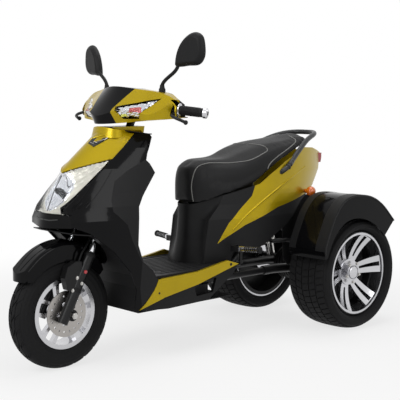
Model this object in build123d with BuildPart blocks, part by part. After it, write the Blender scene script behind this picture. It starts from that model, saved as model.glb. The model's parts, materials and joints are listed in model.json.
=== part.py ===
"""Electric mobility tricycle: one steered front wheel, two powered rear wheels, stepped floor and seat.

Row frame in mm: +X forward, +Y left, +Z up, origin on the floor under the middle of the length.
"""

import os
from math import cos, hypot, radians, sin, tan

from build123d import *

# ---------------------------------------------------------------- driving dimensions
wheelbase = 1324.0
front_tyre_radius = 213.0
front_tyre_width = 84.0
front_rim_radius = 127.0
rear_tyre_radius = 249.0
rear_tyre_width = 224.0
rear_rim_radius = 178.0
rear_track = 566.0
fork_rake = 28.0
fork_leg_offset = 25.0
fork_leg_spacing = 144.0
moving_gap = 6.0
bearing_gap = 0.1
rest_gap = 0.3
skin = 4.0

front_axle_x = (wheelbase + rear_tyre_radius - front_tyre_radius) / 2
rear_axle_x = front_axle_x - wheelbase
front_axle_z = front_tyre_radius
rear_axle_z = rear_tyre_radius
rear_wheel_y = rear_track / 2


# ---------------------------------------------------------------- placing helpers
def side_plane(y=0.0):
    """The side view, +X right and +Z up, at a distance y to the left; an extrusion runs to the right."""
    return Plane(origin=(0, y, 0), x_dir=(1, 0, 0), z_dir=(0, -1, 0))


def front_plane(x=0.0):
    """The view from ahead of the tricycle, +Y across and +Z up; an extrusion runs forward."""
    return Plane(origin=(x, 0, 0), x_dir=(0, 1, 0), z_dir=(1, 0, 0))


def wheel_plane(x, y, z):
    """Radial plane of a wheel: across is along the axle, up is the radius."""
    return Plane(origin=(x, y, z), x_dir=(0, 1, 0), z_dir=(1, 0, 0))


def axle_line(x, y, z):
    return Axis((x, y, z), (0, 1, 0))


def steering_x(z):
    """Where the steering axis stands at a height z."""
    return front_axle_x + fork_leg_offset - (z - front_axle_z) * tan(radians(fork_rake))


def side_slab(points, y_from, y_to):
    """Everything between two distances y inside an outline of the side view."""
    with BuildPart() as slab:
        with BuildSketch(side_plane(y_to)):
            with BuildLine():
                Polyline(*points, close=True)
            make_face()
        extrude(amount=y_to - y_from)
    return slab.part


def front_slab(points, x_from, x_to):
    """Everything between two distances x inside an outline of the front view."""
    with BuildPart() as slab:
        with BuildSketch(front_plane(x_from)):
            with BuildLine():
                Polyline(*points, close=True)
            make_face()
        extrude(amount=x_to - x_from)
    return slab.part


def rod(points, radius):
    """A round bar through points, with small bends between straight runs."""
    with BuildPart() as bar:
        with BuildLine() as path:
            Polyline(*points)
        start = path.line @ 0
        with BuildSketch(Plane(origin=start, z_dir=path.line % 0)):
            Circle(radius)
        sweep(transition=Transition.ROUND)
    return bar.part


def save(node, name):
    node.part.label = name
    export_step(node.part, "parts/" + name + ".step")


os.makedirs("parts", exist_ok=True)

# ---------------------------------------------------------------- tyres
tyre_section = [(0.80, 0.0), (0.80, 0.14), (1.0, 0.42), (0.93, 0.76), (0.62, 0.95), (0.0, 1.0)]


def tyre(x, y, z, outer, inner, width):
    """A tyre of the given radii: bead, bulging side wall, shoulder and crown."""
    half = width / 2
    depth = outer - inner
    right = [(across * half, inner + up * depth) for across, up in tyre_section]
    left = [(-across, up) for across, up in reversed(right[:-1])]
    with BuildPart() as ring:
        with BuildSketch(wheel_plane(x, y, z)):
            with BuildLine():
                Line(left[-1], right[0])
                Line(right[0], right[1])
                Spline(*right[1:], *left[:-1])
                Line(left[-2], left[-1])
            make_face()
        revolve(axis=axle_line(x, y, z))
    return ring.part


with BuildPart() as front_tyre:
    add(tyre(front_axle_x, 0, front_axle_z, front_tyre_radius, front_rim_radius, front_tyre_width))
save(front_tyre, "front_tyre")

for side, sign in (("left", 1), ("right", -1)):
    with BuildPart() as rear_tyre:
        add(tyre(rear_axle_x, sign * rear_wheel_y, rear_axle_z, rear_tyre_radius, rear_rim_radius, rear_tyre_width))
    save(rear_tyre, "rear_tyre_" + side)

# ---------------------------------------------------------------- wheels
axle_radius = 8.0
front_hub_radius = 30.0
front_hub_length = 84.0
rim_flange_height = 9.0
rim_flange_thickness = 4.0
front_barrel_thickness = 8.0
spoke_count = 5
spoke_gap_angle = 15.0


def rim_barrel(x, y, z, bead_radius, tyre_width, thickness):
    """The ring that carries a tyre, with a flange outside each bead."""
    half = tyre_width / 2 * tyre_section[0][0]
    outer_half = half + rim_flange_thickness
    low = bead_radius - thickness
    with BuildPart() as barrel:
        with BuildSketch(wheel_plane(x, y, z)):
            with BuildLine():
                Polyline(
                    (-half, bead_radius),
                    (half, bead_radius),
                    (half, bead_radius + rim_flange_height),
                    (outer_half, bead_radius + rim_flange_height),
                    (outer_half, low),
                    (-outer_half, low),
                    (-outer_half, bead_radius + rim_flange_height),
                    (-half, bead_radius + rim_flange_height),
                    close=True,
                )
            make_face()
        revolve(axis=axle_line(x, y, z))
    return barrel.part


def spoke(inner, outer, root_width, tip_width, lean):
    """One curved spoke in the plane of the wheel, along local +X, tip turned by lean degrees."""
    middle = (inner + outer) / 2
    turn = radians(lean)
    tip = (outer * cos(turn), outer * sin(turn))
    half_turn = radians(lean * 0.35)
    bend = (middle * cos(half_turn), middle * sin(half_turn))
    with BuildSketch() as outline:
        with BuildLine():
            low = ThreePointArc((inner, -root_width / 2), (bend[0], bend[1] - root_width * 0.45),
                                (tip[0], tip[1] - tip_width / 2))
            high = ThreePointArc((inner, root_width / 2), (bend[0], bend[1] + root_width * 0.45),
                                 (tip[0], tip[1] + tip_width / 2))
            Line(low @ 0, high @ 0)
            Line(low @ 1, high @ 1)
        make_face()
    return outline.sketch


def twin_spoke(inner, outer, root_width, tip_width):
    """A spoke along local +X that splits into two bars, closed again at the rim."""
    slot_start = inner + (outer - inner) * 0.18
    slot_end = outer - 7
    with BuildSketch() as outline:
        with BuildLine():
            Polyline((inner, -root_width / 2), (outer, -tip_width / 2), (outer, tip_width / 2), (inner, root_width / 2),
                     close=True)
        make_face()
        with BuildLine():
            Polyline((slot_start, -5), (slot_end, -tip_width * 0.13), (slot_end, tip_width * 0.13), (slot_start, 5),
                     close=True)
        make_face(mode=Mode.SUBTRACT)
    return outline.sketch


rear_spoke_count = 6
rear_spoke_angle = 52.0
rear_dish_y = 42.0
rear_lip_y = 86.0
rear_dish_thickness = 22.0
rear_hub_radius = 58.0
rear_axle_radius = 14.0
rear_hub_inner_y = 196.0
rear_barrel_thickness = 8.0


def dished_spokes(sign):
    """Twin spokes that sweep outward from a sunken hub to the lip of the rim."""
    y = sign * rear_wheel_y
    tip = rear_rim_radius - 4
    with BuildPart() as star:
        with BuildSketch(side_plane(sign * (rear_wheel_y + rear_lip_y + 4))):
            with Locations((rear_axle_x, rear_axle_z)):
                with PolarLocations(0, rear_spoke_count, start_angle=rear_spoke_angle):
                    add(twin_spoke(rear_hub_radius - 8, tip, 46, 80))
        extrude(amount=sign * (rear_lip_y + 4))
    with BuildPart() as dish:
        with BuildSketch(wheel_plane(rear_axle_x, y, rear_axle_z)):
            with BuildLine():
                face = ThreePointArc((sign * (rear_dish_y - 6), rear_hub_radius - 10),
                                     (sign * (rear_dish_y + 10), (rear_hub_radius + tip) / 2),
                                     (sign * rear_lip_y, tip))
                behind = ThreePointArc((sign * (rear_dish_y - 6 - rear_dish_thickness), rear_hub_radius - 10),
                                       (sign * (rear_dish_y + 10 - rear_dish_thickness), (rear_hub_radius + tip) / 2),
                                       (sign * (rear_lip_y - rear_dish_thickness), tip))
                Line(face @ 0, behind @ 0)
                Line(face @ 1, behind @ 1)
            make_face()
        revolve(axis=axle_line(rear_axle_x, y, rear_axle_z))
        add(star.part, mode=Mode.INTERSECT)
    return dish.part


front_spoke_thickness = 22.0
front_spoke_offset = 14.0
with BuildPart() as front_rim:
    add(rim_barrel(front_axle_x, 0, front_axle_z, front_rim_radius, front_tyre_width, front_barrel_thickness))
    with BuildSketch(side_plane(front_hub_length / 2)):
        with Locations((front_axle_x, front_axle_z)):
            Circle(front_hub_radius)
    extrude(amount=front_hub_length)
    with BuildSketch(side_plane(front_spoke_offset + front_spoke_thickness / 2)):
        with Locations((front_axle_x, front_axle_z)):
            with PolarLocations(0, spoke_count, start_angle=-90 - spoke_gap_angle):
                add(spoke(front_hub_radius - 4, front_rim_radius - 4, 15, 19, -9))
            with PolarLocations(0, spoke_count, start_angle=-90 + spoke_gap_angle):
                add(spoke(front_hub_radius - 4, front_rim_radius - 4, 15, 19, 9))
    extrude(amount=front_spoke_thickness)
    with BuildSketch(side_plane(front_hub_length)):
        with Locations((front_axle_x, front_axle_z)):
            Circle(axle_radius + bearing_gap)
    extrude(amount=2 * front_hub_length, mode=Mode.SUBTRACT)
save(front_rim, "front_rim")

disc_radius = 88.0
disc_inner_radius = 50.0
disc_thickness = 4.0
disc_hole_count = 18
disc_y = front_hub_length / 2
with BuildPart() as front_disc:
    with BuildSketch(side_plane(disc_y + disc_thickness)):
        with Locations((front_axle_x, front_axle_z)):
            Circle(disc_radius)
            Circle(axle_radius + moving_gap, mode=Mode.SUBTRACT)
            with PolarLocations((disc_radius + disc_inner_radius) / 2, disc_hole_count):
                Circle(4, mode=Mode.SUBTRACT)
            with PolarLocations(38, 5):
                Circle(9, mode=Mode.SUBTRACT)
    extrude(amount=disc_thickness)
save(front_disc, "front_disc")

for side, sign in (("left", 1), ("right", -1)):
    hub_outer = sign * (rear_wheel_y + rear_dish_y)
    hub_inner = sign * rear_hub_inner_y
    with BuildPart() as rear_rim:
        add(rim_barrel(rear_axle_x, sign * rear_wheel_y, rear_axle_z, rear_rim_radius, rear_tyre_width,
                       rear_barrel_thickness))
        with BuildSketch(side_plane(hub_outer)):
            with Locations((rear_axle_x, rear_axle_z)):
                Circle(rear_hub_radius)
        extrude(amount=hub_outer - hub_inner)
        add(dished_spokes(sign))
        with BuildSketch(side_plane(sign * (rear_wheel_y + 20))):
            with Locations((rear_axle_x, rear_axle_z)):
                Circle(rear_axle_radius + bearing_gap)
        extrude(amount=sign * rear_wheel_y, mode=Mode.SUBTRACT)
    save(rear_rim, "rear_rim_" + side)

# ---------------------------------------------------------------- front fork, turning with the handlebar
fork_leg_radius = 20.0
fork_tube_radius = 15.0
fork_leg_bottom_z = 186.0
fork_leg_top_z = 432.0
yoke_z = 552.0
yoke_thickness = 26.0
stem_radius = 15.0
stem_top_z = 962.0
fork_y = fork_leg_spacing / 2


def on_axis(z, y=0.0, ahead=0.0):
    """A point of the steering axis at height z, moved across and forward."""
    return (steering_x(z) + ahead, y, z)


def along_axis(z, y=0.0):
    """Plane square to the steering axis at height z."""
    return Plane(origin=on_axis(z, y), x_dir=(0, 1, 0), z_dir=(-sin(radians(fork_rake)), 0, cos(radians(fork_rake))))


def axis_length(z_from, z_to):
    return (z_to - z_from) / cos(radians(fork_rake))


with BuildPart() as fork_lowers:
    for sign in (1, -1):
        with BuildSketch(along_axis(fork_leg_bottom_z, sign * fork_y)):
            Circle(fork_leg_radius)
        extrude(amount=axis_length(fork_leg_bottom_z, fork_leg_top_z))
        with BuildSketch(side_plane(sign * fork_y + 13)):
            with Locations((front_axle_x, front_axle_z)):
                Circle(22)
        extrude(amount=26)
    with BuildSketch(side_plane(fork_y * 2)):
        with Locations((front_axle_x, front_axle_z)):
            Circle(axle_radius + bearing_gap)
    extrude(amount=fork_y * 4, mode=Mode.SUBTRACT)
    for sign in (1, -1):
        with BuildSketch(along_axis(fork_leg_top_z - 60, sign * fork_y)):
            Circle(fork_tube_radius)
        extrude(amount=200, mode=Mode.SUBTRACT)
save(fork_lowers, "fork_lowers")

with BuildPart() as fork_tubes:
    for sign in (1, -1):
        with BuildSketch(along_axis(fork_leg_top_z - 60, sign * fork_y)):
            Circle(fork_tube_radius)
        extrude(amount=axis_length(fork_leg_top_z - 60, yoke_z))
save(fork_tubes, "fork_tubes")

with BuildPart() as fork_yoke:
    with BuildSketch(along_axis(yoke_z)):
        SlotCenterToCenter(fork_leg_spacing, 2 * fork_leg_radius + 4)
    extrude(amount=yoke_thickness)
    with BuildSketch(along_axis(yoke_z)):
        Circle(stem_radius)
    extrude(amount=axis_length(yoke_z, stem_top_z - 10))
save(fork_yoke, "fork_yoke")

with BuildPart() as front_axle:
    with BuildSketch(side_plane(fork_y + 30)):
        with Locations((front_axle_x, front_axle_z)):
            Circle(axle_radius)
    extrude(amount=2 * fork_y + 60)
    for y_from in (fork_y + 28, -fork_y - 16):
        with BuildSketch(side_plane(y_from)):
            with Locations((front_axle_x, front_axle_z)):
                RegularPolygon(13, 6)
        extrude(amount=12)
save(front_axle, "front_axle")

caliper_outline = [(712, 357), (698, 396), (661, 414), (634, 411), (634, 381), (653, 334), (672, 306), (700, 310)]
caliper_thickness = 30.0
with BuildPart() as brake_caliper:
    with BuildSketch(side_plane(disc_y + disc_thickness + moving_gap + caliper_thickness)):
        with BuildLine():
            Polyline(*caliper_outline, close=True)
        make_face()
        fillet(vertices(), 6)
    extrude(amount=caliper_thickness)
    for sign in (1, -1):
        with BuildSketch(along_axis(fork_leg_bottom_z, sign * fork_y)):
            Circle(fork_leg_radius)
        extrude(amount=axis_length(fork_leg_bottom_z, fork_leg_top_z), mode=Mode.SUBTRACT)
save(brake_caliper, "brake_caliper")

# fender: a curved guard over the tyre, carried by the fork legs
fender_outline = [(884, 352), (876, 376), (852, 402), (799, 446), (742, 474), (683, 486), (620, 480),
                  (560, 446), (505, 366)]
fender_inner_radius = front_tyre_radius + 13
fender_side_radius = front_tyre_radius - 9
fender_thickness = 3.8
fender_half_width = fork_y - fork_leg_radius - fender_thickness - rest_gap
fender_edge_radius = 14.0
fender_tip_x = 870.0
with BuildPart() as fender_plan:
    with BuildSketch(Plane.XY.offset(300)):
        with Locations((fender_tip_x - fork_y, 0)):
            Circle(fork_y)
        with Locations((fender_tip_x - fork_y - 200, 0)):
            Rectangle(400, 2 * fork_y)
    extrude(amount=220)
with BuildPart() as front_fender:
    with BuildSketch(side_plane(fender_half_width + fender_thickness)):
        with BuildLine():
            crown = Spline(*fender_outline)
            Line(crown @ 1, (front_axle_x - 150, front_axle_z + 130))
            ThreePointArc((front_axle_x - 150, front_axle_z + 130),
                          (front_axle_x, front_axle_z + fender_side_radius - 4),
                          (front_axle_x + 148, front_axle_z + 140))
            Line((front_axle_x + 148, front_axle_z + 140), crown @ 0)
        make_face()
    extrude(amount=2 * (fender_half_width + fender_thickness))
    fillet(front_fender.edges().filter_by(GeomType.BSPLINE), fender_edge_radius)
    with BuildSketch(side_plane(fender_half_width)):
        with Locations((front_axle_x, front_axle_z)):
            Circle(fender_inner_radius)
    extrude(amount=2 * fender_half_width, mode=Mode.SUBTRACT)
    add(fender_plan.part, mode=Mode.INTERSECT)
save(front_fender, "front_fender")

# ---------------------------------------------------------------- handlebar and its cover
bar_radius = 11.0
bar_bends = [(steering_x(stem_top_z), 0, stem_top_z), (steering_x(stem_top_z) + 12, 110, 962)]
grip_start = (326, 256, 976)
grip_end = (262, 366, 962)
grip_radius = 17.0


def on_side(point, sign):
    return (point[0], sign * point[1], point[2])


with BuildPart() as handlebar:
    for sign in (1, -1):
        with BuildLine() as bar_path:
            straight = Line(on_side(grip_start, sign), on_side(grip_end, sign))
            Spline(*[on_side(point, sign) for point in bar_bends], on_side(grip_start, sign),
                   tangents=((0, sign, 0), straight % 0))
        with BuildSketch(Plane(origin=on_side(bar_bends[0], sign), z_dir=(0, sign, 0))):
            Circle(bar_radius)
        sweep(path=bar_path.wire())
    with BuildSketch(along_axis(stem_top_z - 12)):
        Circle(stem_radius + 8)
    extrude(amount=14)
    with BuildSketch(along_axis(stem_top_z - 60)):
        Circle(stem_radius)
    extrude(amount=axis_length(0, 50), mode=Mode.SUBTRACT)
save(handlebar, "handlebar")

headset_sections = [
    (0, [(492, 918), (500, 950), (410, 1062), (300, 1055), (240, 1012), (228, 932)]),
    (75, [(452, 922), (476, 968), (394, 1056), (305, 1050), (240, 1008), (230, 932)]),
    (150, [(418, 930), (436, 968), (365, 1046), (300, 1042), (246, 1005), (240, 936)]),
    (225, [(380, 937), (390, 966), (345, 1032), (300, 1028), (262, 1000), (258, 942)]),
    (288, [(350, 944), (354, 968), (336, 1004), (312, 1004), (290, 988), (288, 948)]),
]


def headset_body(inset):
    """The handlebar cover as one body, lofted across from tip to tip and drawn inwards by inset."""
    with BuildPart() as body:
        tips = [(-y, points) for y, points in reversed(headset_sections[1:])] + headset_sections
        for y, points in tips:
            middle_x = sum(x for x, z in points) / len(points)
            middle_z = sum(z for x, z in points) / len(points)
            drawn = []
            for x, z in points:
                reach = hypot(x - middle_x, z - middle_z)
                keep = (reach - inset) / reach
                drawn.append((middle_x + (x - middle_x) * keep, middle_z + (z - middle_z) * keep))
            with BuildSketch(side_plane(y)):
                with BuildLine():
                    Polyline(*drawn, close=True)
                make_face()
        loft()
    return body.part


grip_pocket = [(200, 947), (345, 947), (345, 1012), (200, 1012)]
with BuildPart() as headset_shell:
    add(headset_body(0))
    add(headset_body(2 * skin), mode=Mode.SUBTRACT)
    add(side_slab(grip_pocket, 250, 400), mode=Mode.SUBTRACT)
    add(side_slab(grip_pocket, -400, -250), mode=Mode.SUBTRACT)
    with BuildSketch(along_axis(880)):
        Circle(stem_radius + rest_gap)
    extrude(amount=90, mode=Mode.SUBTRACT)
headset_back_x = 296.0
wedge_outline = [(-72, 900), (-62, 975), (-108, 1080), (108, 1080), (62, 975), (72, 900)]
lens_outline = [(70, 985), (96, 938), (162, 940), (176, 968), (220, 1016), (178, 1010), (140, 1000)]

back_region = side_slab([(100, 880), (headset_back_x - 14, 880), (headset_back_x, 1000),
                         (headset_back_x + 10, 1100), (100, 1100)], -400, 400)
wedge_region = front_slab(wedge_outline, 100, 600)
lens_region = front_slab(lens_outline, 330, 600)
lens_region_right = front_slab([(-y, z) for y, z in lens_outline], 330, 600)

with BuildPart() as headset_cover:
    add(headset_shell.part)
    add(back_region, mode=Mode.SUBTRACT)
    add(wedge_region, mode=Mode.SUBTRACT)
    add(lens_region, mode=Mode.SUBTRACT)
    add(lens_region_right, mode=Mode.SUBTRACT)
save(headset_cover, "headset_cover")

with BuildPart() as headset_wedge:
    add(headset_shell.part)
    add(back_region, mode=Mode.SUBTRACT)
    add(wedge_region, mode=Mode.INTERSECT)
save(headset_wedge, "headset_wedge")

with BuildPart() as headset_back:
    add(headset_shell.part)
    add(back_region, mode=Mode.INTERSECT)
save(headset_back, "headset_back")

with BuildPart() as front_signals:
    add(headset_shell.part)
    add(lens_region + lens_region_right, mode=Mode.INTERSECT)
save(front_signals, "front_signals")

# ---------------------------------------------------------------- levers, grips, mirrors
lever_points = [(330, 272, 960), (366, 290, 951), (362, 318, 941), (338, 331, 929)]
mirror_stem_points = [(315, 171, 1040), (315, 172, 1066), (309, 205, 1098)]
mirror_stem_end = (301, 250)
mirror_outline = [(-66, -54), (-60, -18), (-40, 24), (-10, 53), (25, 65), (54, 53), (66, 16), (64, -28), (44, -53),
                  (0, -58), (-46, -62)]
mirror_x = 289.0
mirror_y = 296.0
mirror_heights = {1: 1197.0, -1: 1167.0}
mirror_toe = 13.0
mirror_shells = [(-14, 0.97), (-10, 1.0), (4, 0.94), (14, 0.70)]

with BuildPart() as grips:
    for sign in (1, -1):
        with BuildLine() as grip_path:
            Line(on_side(grip_start, sign), on_side(grip_end, sign))
        for place, radius, length in ((0.14, grip_radius + 7, 5), (0.17, grip_radius, 95), (0.90, grip_radius + 2, 12)):
            with BuildSketch(Plane(origin=grip_path.line @ place, z_dir=grip_path.line % 0)):
                Circle(radius)
                Circle(bar_radius + bearing_gap, mode=Mode.SUBTRACT)
            extrude(amount=length)
save(grips, "grips")

with BuildPart() as brake_levers:
    for sign in (1, -1):
        with BuildLine() as lever_path:
            Spline(*[(x, sign * y, z) for x, y, z in lever_points])
        with BuildSketch(Plane(origin=lever_path.line @ 0, z_dir=lever_path.line % 0)):
            Circle(6)
        sweep(path=lever_path.line)
        with Locations((338, sign * 331, 929)):
            Sphere(9)
        with Locations((325, sign * 262, 968)):
            Box(24, 12, 26)
    add(handlebar.part, mode=Mode.SUBTRACT)
save(brake_levers, "brake_levers")


def mirror_head(sign):
    """A mirror head lofted forward from its glass edge, toed so that the glass looks back at the rider."""
    toe = radians(mirror_toe)
    facing = (cos(toe), sign * sin(toe), 0)
    with BuildPart() as head:
        for forward, size in mirror_shells:
            centre = (mirror_x + forward * facing[0], sign * mirror_y + forward * facing[1], mirror_heights[sign])
            with BuildSketch(Plane(origin=centre, x_dir=(-facing[1], facing[0], 0), z_dir=facing)):
                with BuildLine():
                    Spline(*[(sign * across * size, up * size) for across, up in mirror_outline], periodic=True)
                make_face()
        loft()
    return head.part


with BuildPart() as mirrors:
    for sign in (1, -1):
        with BuildLine() as mirror_path:
            Spline(*[on_side(point, sign) for point in mirror_stem_points],
                   on_side((*mirror_stem_end, mirror_heights[sign] - 38), sign))
        with BuildSketch(Plane(origin=mirror_path.line @ 0, z_dir=mirror_path.line % 0)):
            Circle(7)
        sweep(path=mirror_path.line)
        add(mirror_head(sign))
    add(headset_shell.part, mode=Mode.SUBTRACT)
save(mirrors, "mirrors")

# ---------------------------------------------------------------- front body, from nose to leg shield
# level sections: height, then nose x, front edge (x, y), flank (x, y) and back corner (x, y)
front_levels = [
    (205, 770, (715, 129), (500, 194), (330, 202)),
    (400, 765, (715, 129), (500, 196), (345, 200)),
    (568, 748, (713, 127), (520, 186), (370, 190)),
    (617, 729, (713, 94), (560, 168), (365, 184)),
    (668, 707, (657, 106), (500, 166), (350, 178)),
    (755, 652, (556, 119), (450, 155), (318, 168)),
    (830, 560, (464, 119), (400, 146), (300, 156)),
    (907, 466, (372, 112), (335, 132), (285, 140)),
]


def front_body(inset):
    """The front body as one closed form, lofted up through its level sections and drawn inwards by inset."""
    with BuildPart() as body:
        for height, nose_x, corner, flank, back in front_levels:
            edge = (corner[0] - inset * 0.9, corner[1] - inset * 0.9)
            brow = (edge[0] + (nose_x - inset - edge[0]) * 0.60, edge[1] * 0.5)
            left = [(back[0], back[1] - inset), (flank[0] - inset / 3, flank[1] - inset), edge]
            with BuildSketch(Plane.XY.offset(height)):
                with BuildLine():
                    Spline(*left)
                    Spline(edge, brow, (nose_x - inset, 0), (brow[0], -brow[1]), (edge[0], -edge[1]))
                    Spline(*[(x, -y) for x, y in reversed(left)])
                    Line((back[0], inset - back[1]), (back[0], back[1] - inset))
                make_face()
        loft(ruled=True)
    return body.part


top_line = [(280, 874), (345, 877), (395, 886), (468, 901), (500, 903)]
back_silhouette = [(350, 880), (344, 869), (388, 786), (371, 770), (350, 734), (420, 649), (443, 612), (455, 467),
                   (434, 399), (388, 362), (345, 298), (370, 250), (432, 214)]
arch_silhouette = [(474, 226), (466, 297), (491, 366), (560, 451), (648, 524), (704, 548), (810, 530)]
wing_line = [(350, 893), (344, 869), (388, 786), (371, 770), (350, 734), (420, 649), (443, 612), (455, 467),
             (434, 399), (390, 362), (386, 345)]
column_line = [(294, 893), (305, 850), (318, 782), (330, 734), (372, 650), (395, 612), (402, 520), (396, 400),
               (386, 345)]
column_half_width = 82.0
shield_foot = [(386, 326), (386 + skin, 326)]
crease_line = [(344, 893), (348, 870), (383, 788), (470, 748), (528, 709), (555, 640), (555, 600), (500, 547),
               (482, 488), (440, 400), (450, 300), (440, 205)]
front_edge_line = [(375, 907), (466, 830), (558, 755), (659, 668), (715, 617), (718, 597)]
lens_bottom_z = 592.0

below_top = side_slab([*top_line, (820, 903), (820, 200), (250, 200), (250, 874)], -260, 260)
with BuildPart() as front_side:
    add(side_slab([*back_silhouette, *arch_silhouette, (810, 903)], -260, 260))
    add(below_top, mode=Mode.INTERSECT)
with BuildPart() as front_shell:
    add(front_body(0))
    add(front_side.part, mode=Mode.INTERSECT)
    add(front_body(skin), mode=Mode.SUBTRACT)
with BuildPart() as front_hollow:
    add(front_body(skin + rest_gap))

lens_area = side_slab([*front_edge_line, (700, lens_bottom_z), (820, lens_bottom_z), (820, 907)], -260, 260)
yellow_area = front_slab([(-260, 858), (0, 738), (260, 858), (260, 960), (-260, 960)], 300, 900)
chin_area = side_slab([(648, 500), (648, lens_bottom_z + 20), (700, lens_bottom_z), (820, lens_bottom_z), (820, 500)],
                      -260, 260)
wing_area = side_slab([*crease_line, (250, 205), (250, 893)], -260, 260)

with BuildPart() as front_panel:
    add(front_shell.part)
    add(lens_area, mode=Mode.INTERSECT)
    add(yellow_area, mode=Mode.INTERSECT)
save(front_panel, "front_panel")

with BuildPart() as headlight_lens:
    add(front_shell.part)
    add(lens_area, mode=Mode.INTERSECT)
    add(yellow_area, mode=Mode.SUBTRACT)
save(headlight_lens, "headlight_lens")

with BuildPart() as headlight_bowl:
    add(front_hollow.part)
    add(lens_area, mode=Mode.INTERSECT)
    add(yellow_area, mode=Mode.SUBTRACT)
    add(front_body(45), mode=Mode.SUBTRACT)
save(headlight_bowl, "headlight_bowl")

with BuildPart() as chin_cover:
    add(front_shell.part)
    add(chin_area, mode=Mode.INTERSECT)
    add(lens_area, mode=Mode.SUBTRACT)
save(chin_cover, "chin_cover")

with BuildPart() as side_aprons:
    add(front_shell.part)
    add(wing_area, mode=Mode.SUBTRACT)
    add(lens_area, mode=Mode.SUBTRACT)
    add(chin_area, mode=Mode.SUBTRACT)
save(side_aprons, "side_aprons")


def sheet(line, thickness, y_from, y_to):
    """A sheet that stands ahead of a line of the side view, between two distances y."""
    return side_slab([*line, *[(x + thickness, z) for x, z in reversed(line)]], y_from, y_to)


with BuildPart() as shield_wall:
    for sign in (1, -1):
        low, high = sorted((sign * (column_half_width - skin), sign * 260))
        add(sheet([*wing_line, shield_foot[0]], skin, low, high))
        low, high = sorted((sign * (column_half_width - skin), sign * column_half_width))
        add(side_slab([*column_line, *reversed(wing_line[:-1])], low, high))
    add(sheet([*column_line, shield_foot[0]], skin, -column_half_width, column_half_width))
    add(front_body(skin), mode=Mode.INTERSECT)
    add(below_top, mode=Mode.INTERSECT)
with BuildPart() as top_plate:
    add(side_slab([*top_line, *[(x, z + skin) for x, z in reversed(top_line)]], -260, 260))
    add(front_body(0), mode=Mode.INTERSECT)
    for sign in (1, -1):
        low, high = sorted((sign * column_half_width, sign * 260))
        add(side_slab([(250, 860), (350, 860), (350, 900), (250, 900)], low, high), mode=Mode.SUBTRACT)
    with BuildSketch(along_axis(820)):
        Circle(stem_radius + moving_gap)
    extrude(amount=120, mode=Mode.SUBTRACT)
with BuildPart() as leg_shield:
    add(front_shell.part)
    add(wing_area, mode=Mode.INTERSECT)
    add(shield_wall.part)
    add(top_plate.part)
save(leg_shield, "leg_shield")

# inner fender: the wall that closes the front body above and behind the steered wheel
arch_wall = [(457, 206), (453, 300), (470, 350), (520, 408), (570, 470), (620, 512), (690, 520), (745, 530),
             (745, 534), (690, 524), (618, 516), (566, 474), (516, 412), (466, 352), (449, 300), (452, 206)]
steering_opening = 112.0
with BuildPart() as inner_fender:
    add(side_slab(arch_wall, -260, 260))
    add(front_hollow.part, mode=Mode.INTERSECT)
    with BuildSketch(along_axis(430)):
        Circle(steering_opening)
    extrude(amount=150, mode=Mode.SUBTRACT)
save(inner_fender, "inner_fender")

# ---------------------------------------------------------------- neck cover, between the body and the handlebar cover
neck_top_z = 907.0
neck_half_width = 50.0
with BuildPart() as neck_cover:
    add(side_slab([(302, 876.5 + skin), (345, 877 + skin), (395, 886 + skin), (452, 898 + skin), (462, neck_top_z),
                   (297, neck_top_z)], -neck_half_width, neck_half_width))
    fillet(neck_cover.edges().filter_by(Axis.Z, tolerance=30).sort_by(Axis.X)[:2], 8)
    add(top_plate.part, mode=Mode.SUBTRACT)
    with BuildSketch(along_axis(820)):
        Circle(stem_radius + moving_gap)
    extrude(amount=140, mode=Mode.SUBTRACT)
save(neck_cover, "neck_cover")

# ---------------------------------------------------------------- frame
frame_tube_radius = 15.0
head_tube_radius = 24.0
head_bottom_z = 596.0
head_top_z = 866.0
rail_y = 95.0
rail_z = 262.0
swingarm_pivot_x = -330.0
rear_fender_inner_y = 226.0
peg_x = -66.0
peg_y = 212.0
peg_z = 400.0
peg_knuckle_half = 12.0
with BuildPart() as main_frame:
    with BuildSketch(along_axis(head_bottom_z)):
        Circle(head_tube_radius)
    extrude(amount=axis_length(head_bottom_z, head_top_z))
    for sign in (1, -1):
        add(rod([(steering_x(700), 0, 700), (440, sign * 30, 540), (424, sign * 56, 400), (420, sign * 80, 300),
                 (390, sign * rail_y, rail_z), (-60, sign * rail_y, rail_z), (-150, sign * rail_y, 330),
                 (-420, sign * rail_y, 560), (-640, sign * 60, 700)], frame_tube_radius))
        add(rod([(-60, sign * rail_y, rail_z), (swingarm_pivot_x, sign * rail_y, rail_z)], frame_tube_radius))
        add(rod([(-290, sign * rail_y, 448), (-310, sign * 165, 402), (-385, sign * 185, 402),
                 (-385, sign * (rear_fender_inner_y - rest_gap), 402)], 9))
        add(rod([(-112, sign * rail_y, 302), (-112, sign * 176, 330), (-96, sign * 190, 388), (peg_x, sign * 190, peg_z)],
                8))
        low, high = sorted((sign * 186, sign * (peg_y + 12)))
        for x_from in (peg_x - peg_knuckle_half - 0.3 - 5, peg_x + peg_knuckle_half + 0.3):
            add(front_slab([(low, peg_z - 12), (high, peg_z - 12), (high, peg_z + 12), (low, peg_z + 12)], x_from,
                           x_from + 5))
        low, high = sorted((sign * 180, sign * 190))
        add(front_slab([(low, peg_z - 12), (high, peg_z - 12), (high, peg_z + 12), (low, peg_z + 12)],
                       peg_x - peg_knuckle_half - 5.3, peg_x + peg_knuckle_half + 5.3))
        with BuildSketch(front_plane(peg_x - peg_knuckle_half - 5.3)):
            with Locations((sign * peg_y, peg_z)):
                Circle(4)
        extrude(amount=2 * peg_knuckle_half + 10.6)
    for x, z, reach in ((370, rail_z, rail_y), (-40, rail_z, rail_y), (-420, 560, rail_y)):
        add(rod([(x, -reach, z), (x, reach, z)], frame_tube_radius - 4))
    with BuildSketch(along_axis(head_bottom_z - 40)):
        Circle(stem_radius + bearing_gap)
    extrude(amount=axis_length(head_bottom_z, head_top_z) + 200, mode=Mode.SUBTRACT)
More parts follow.
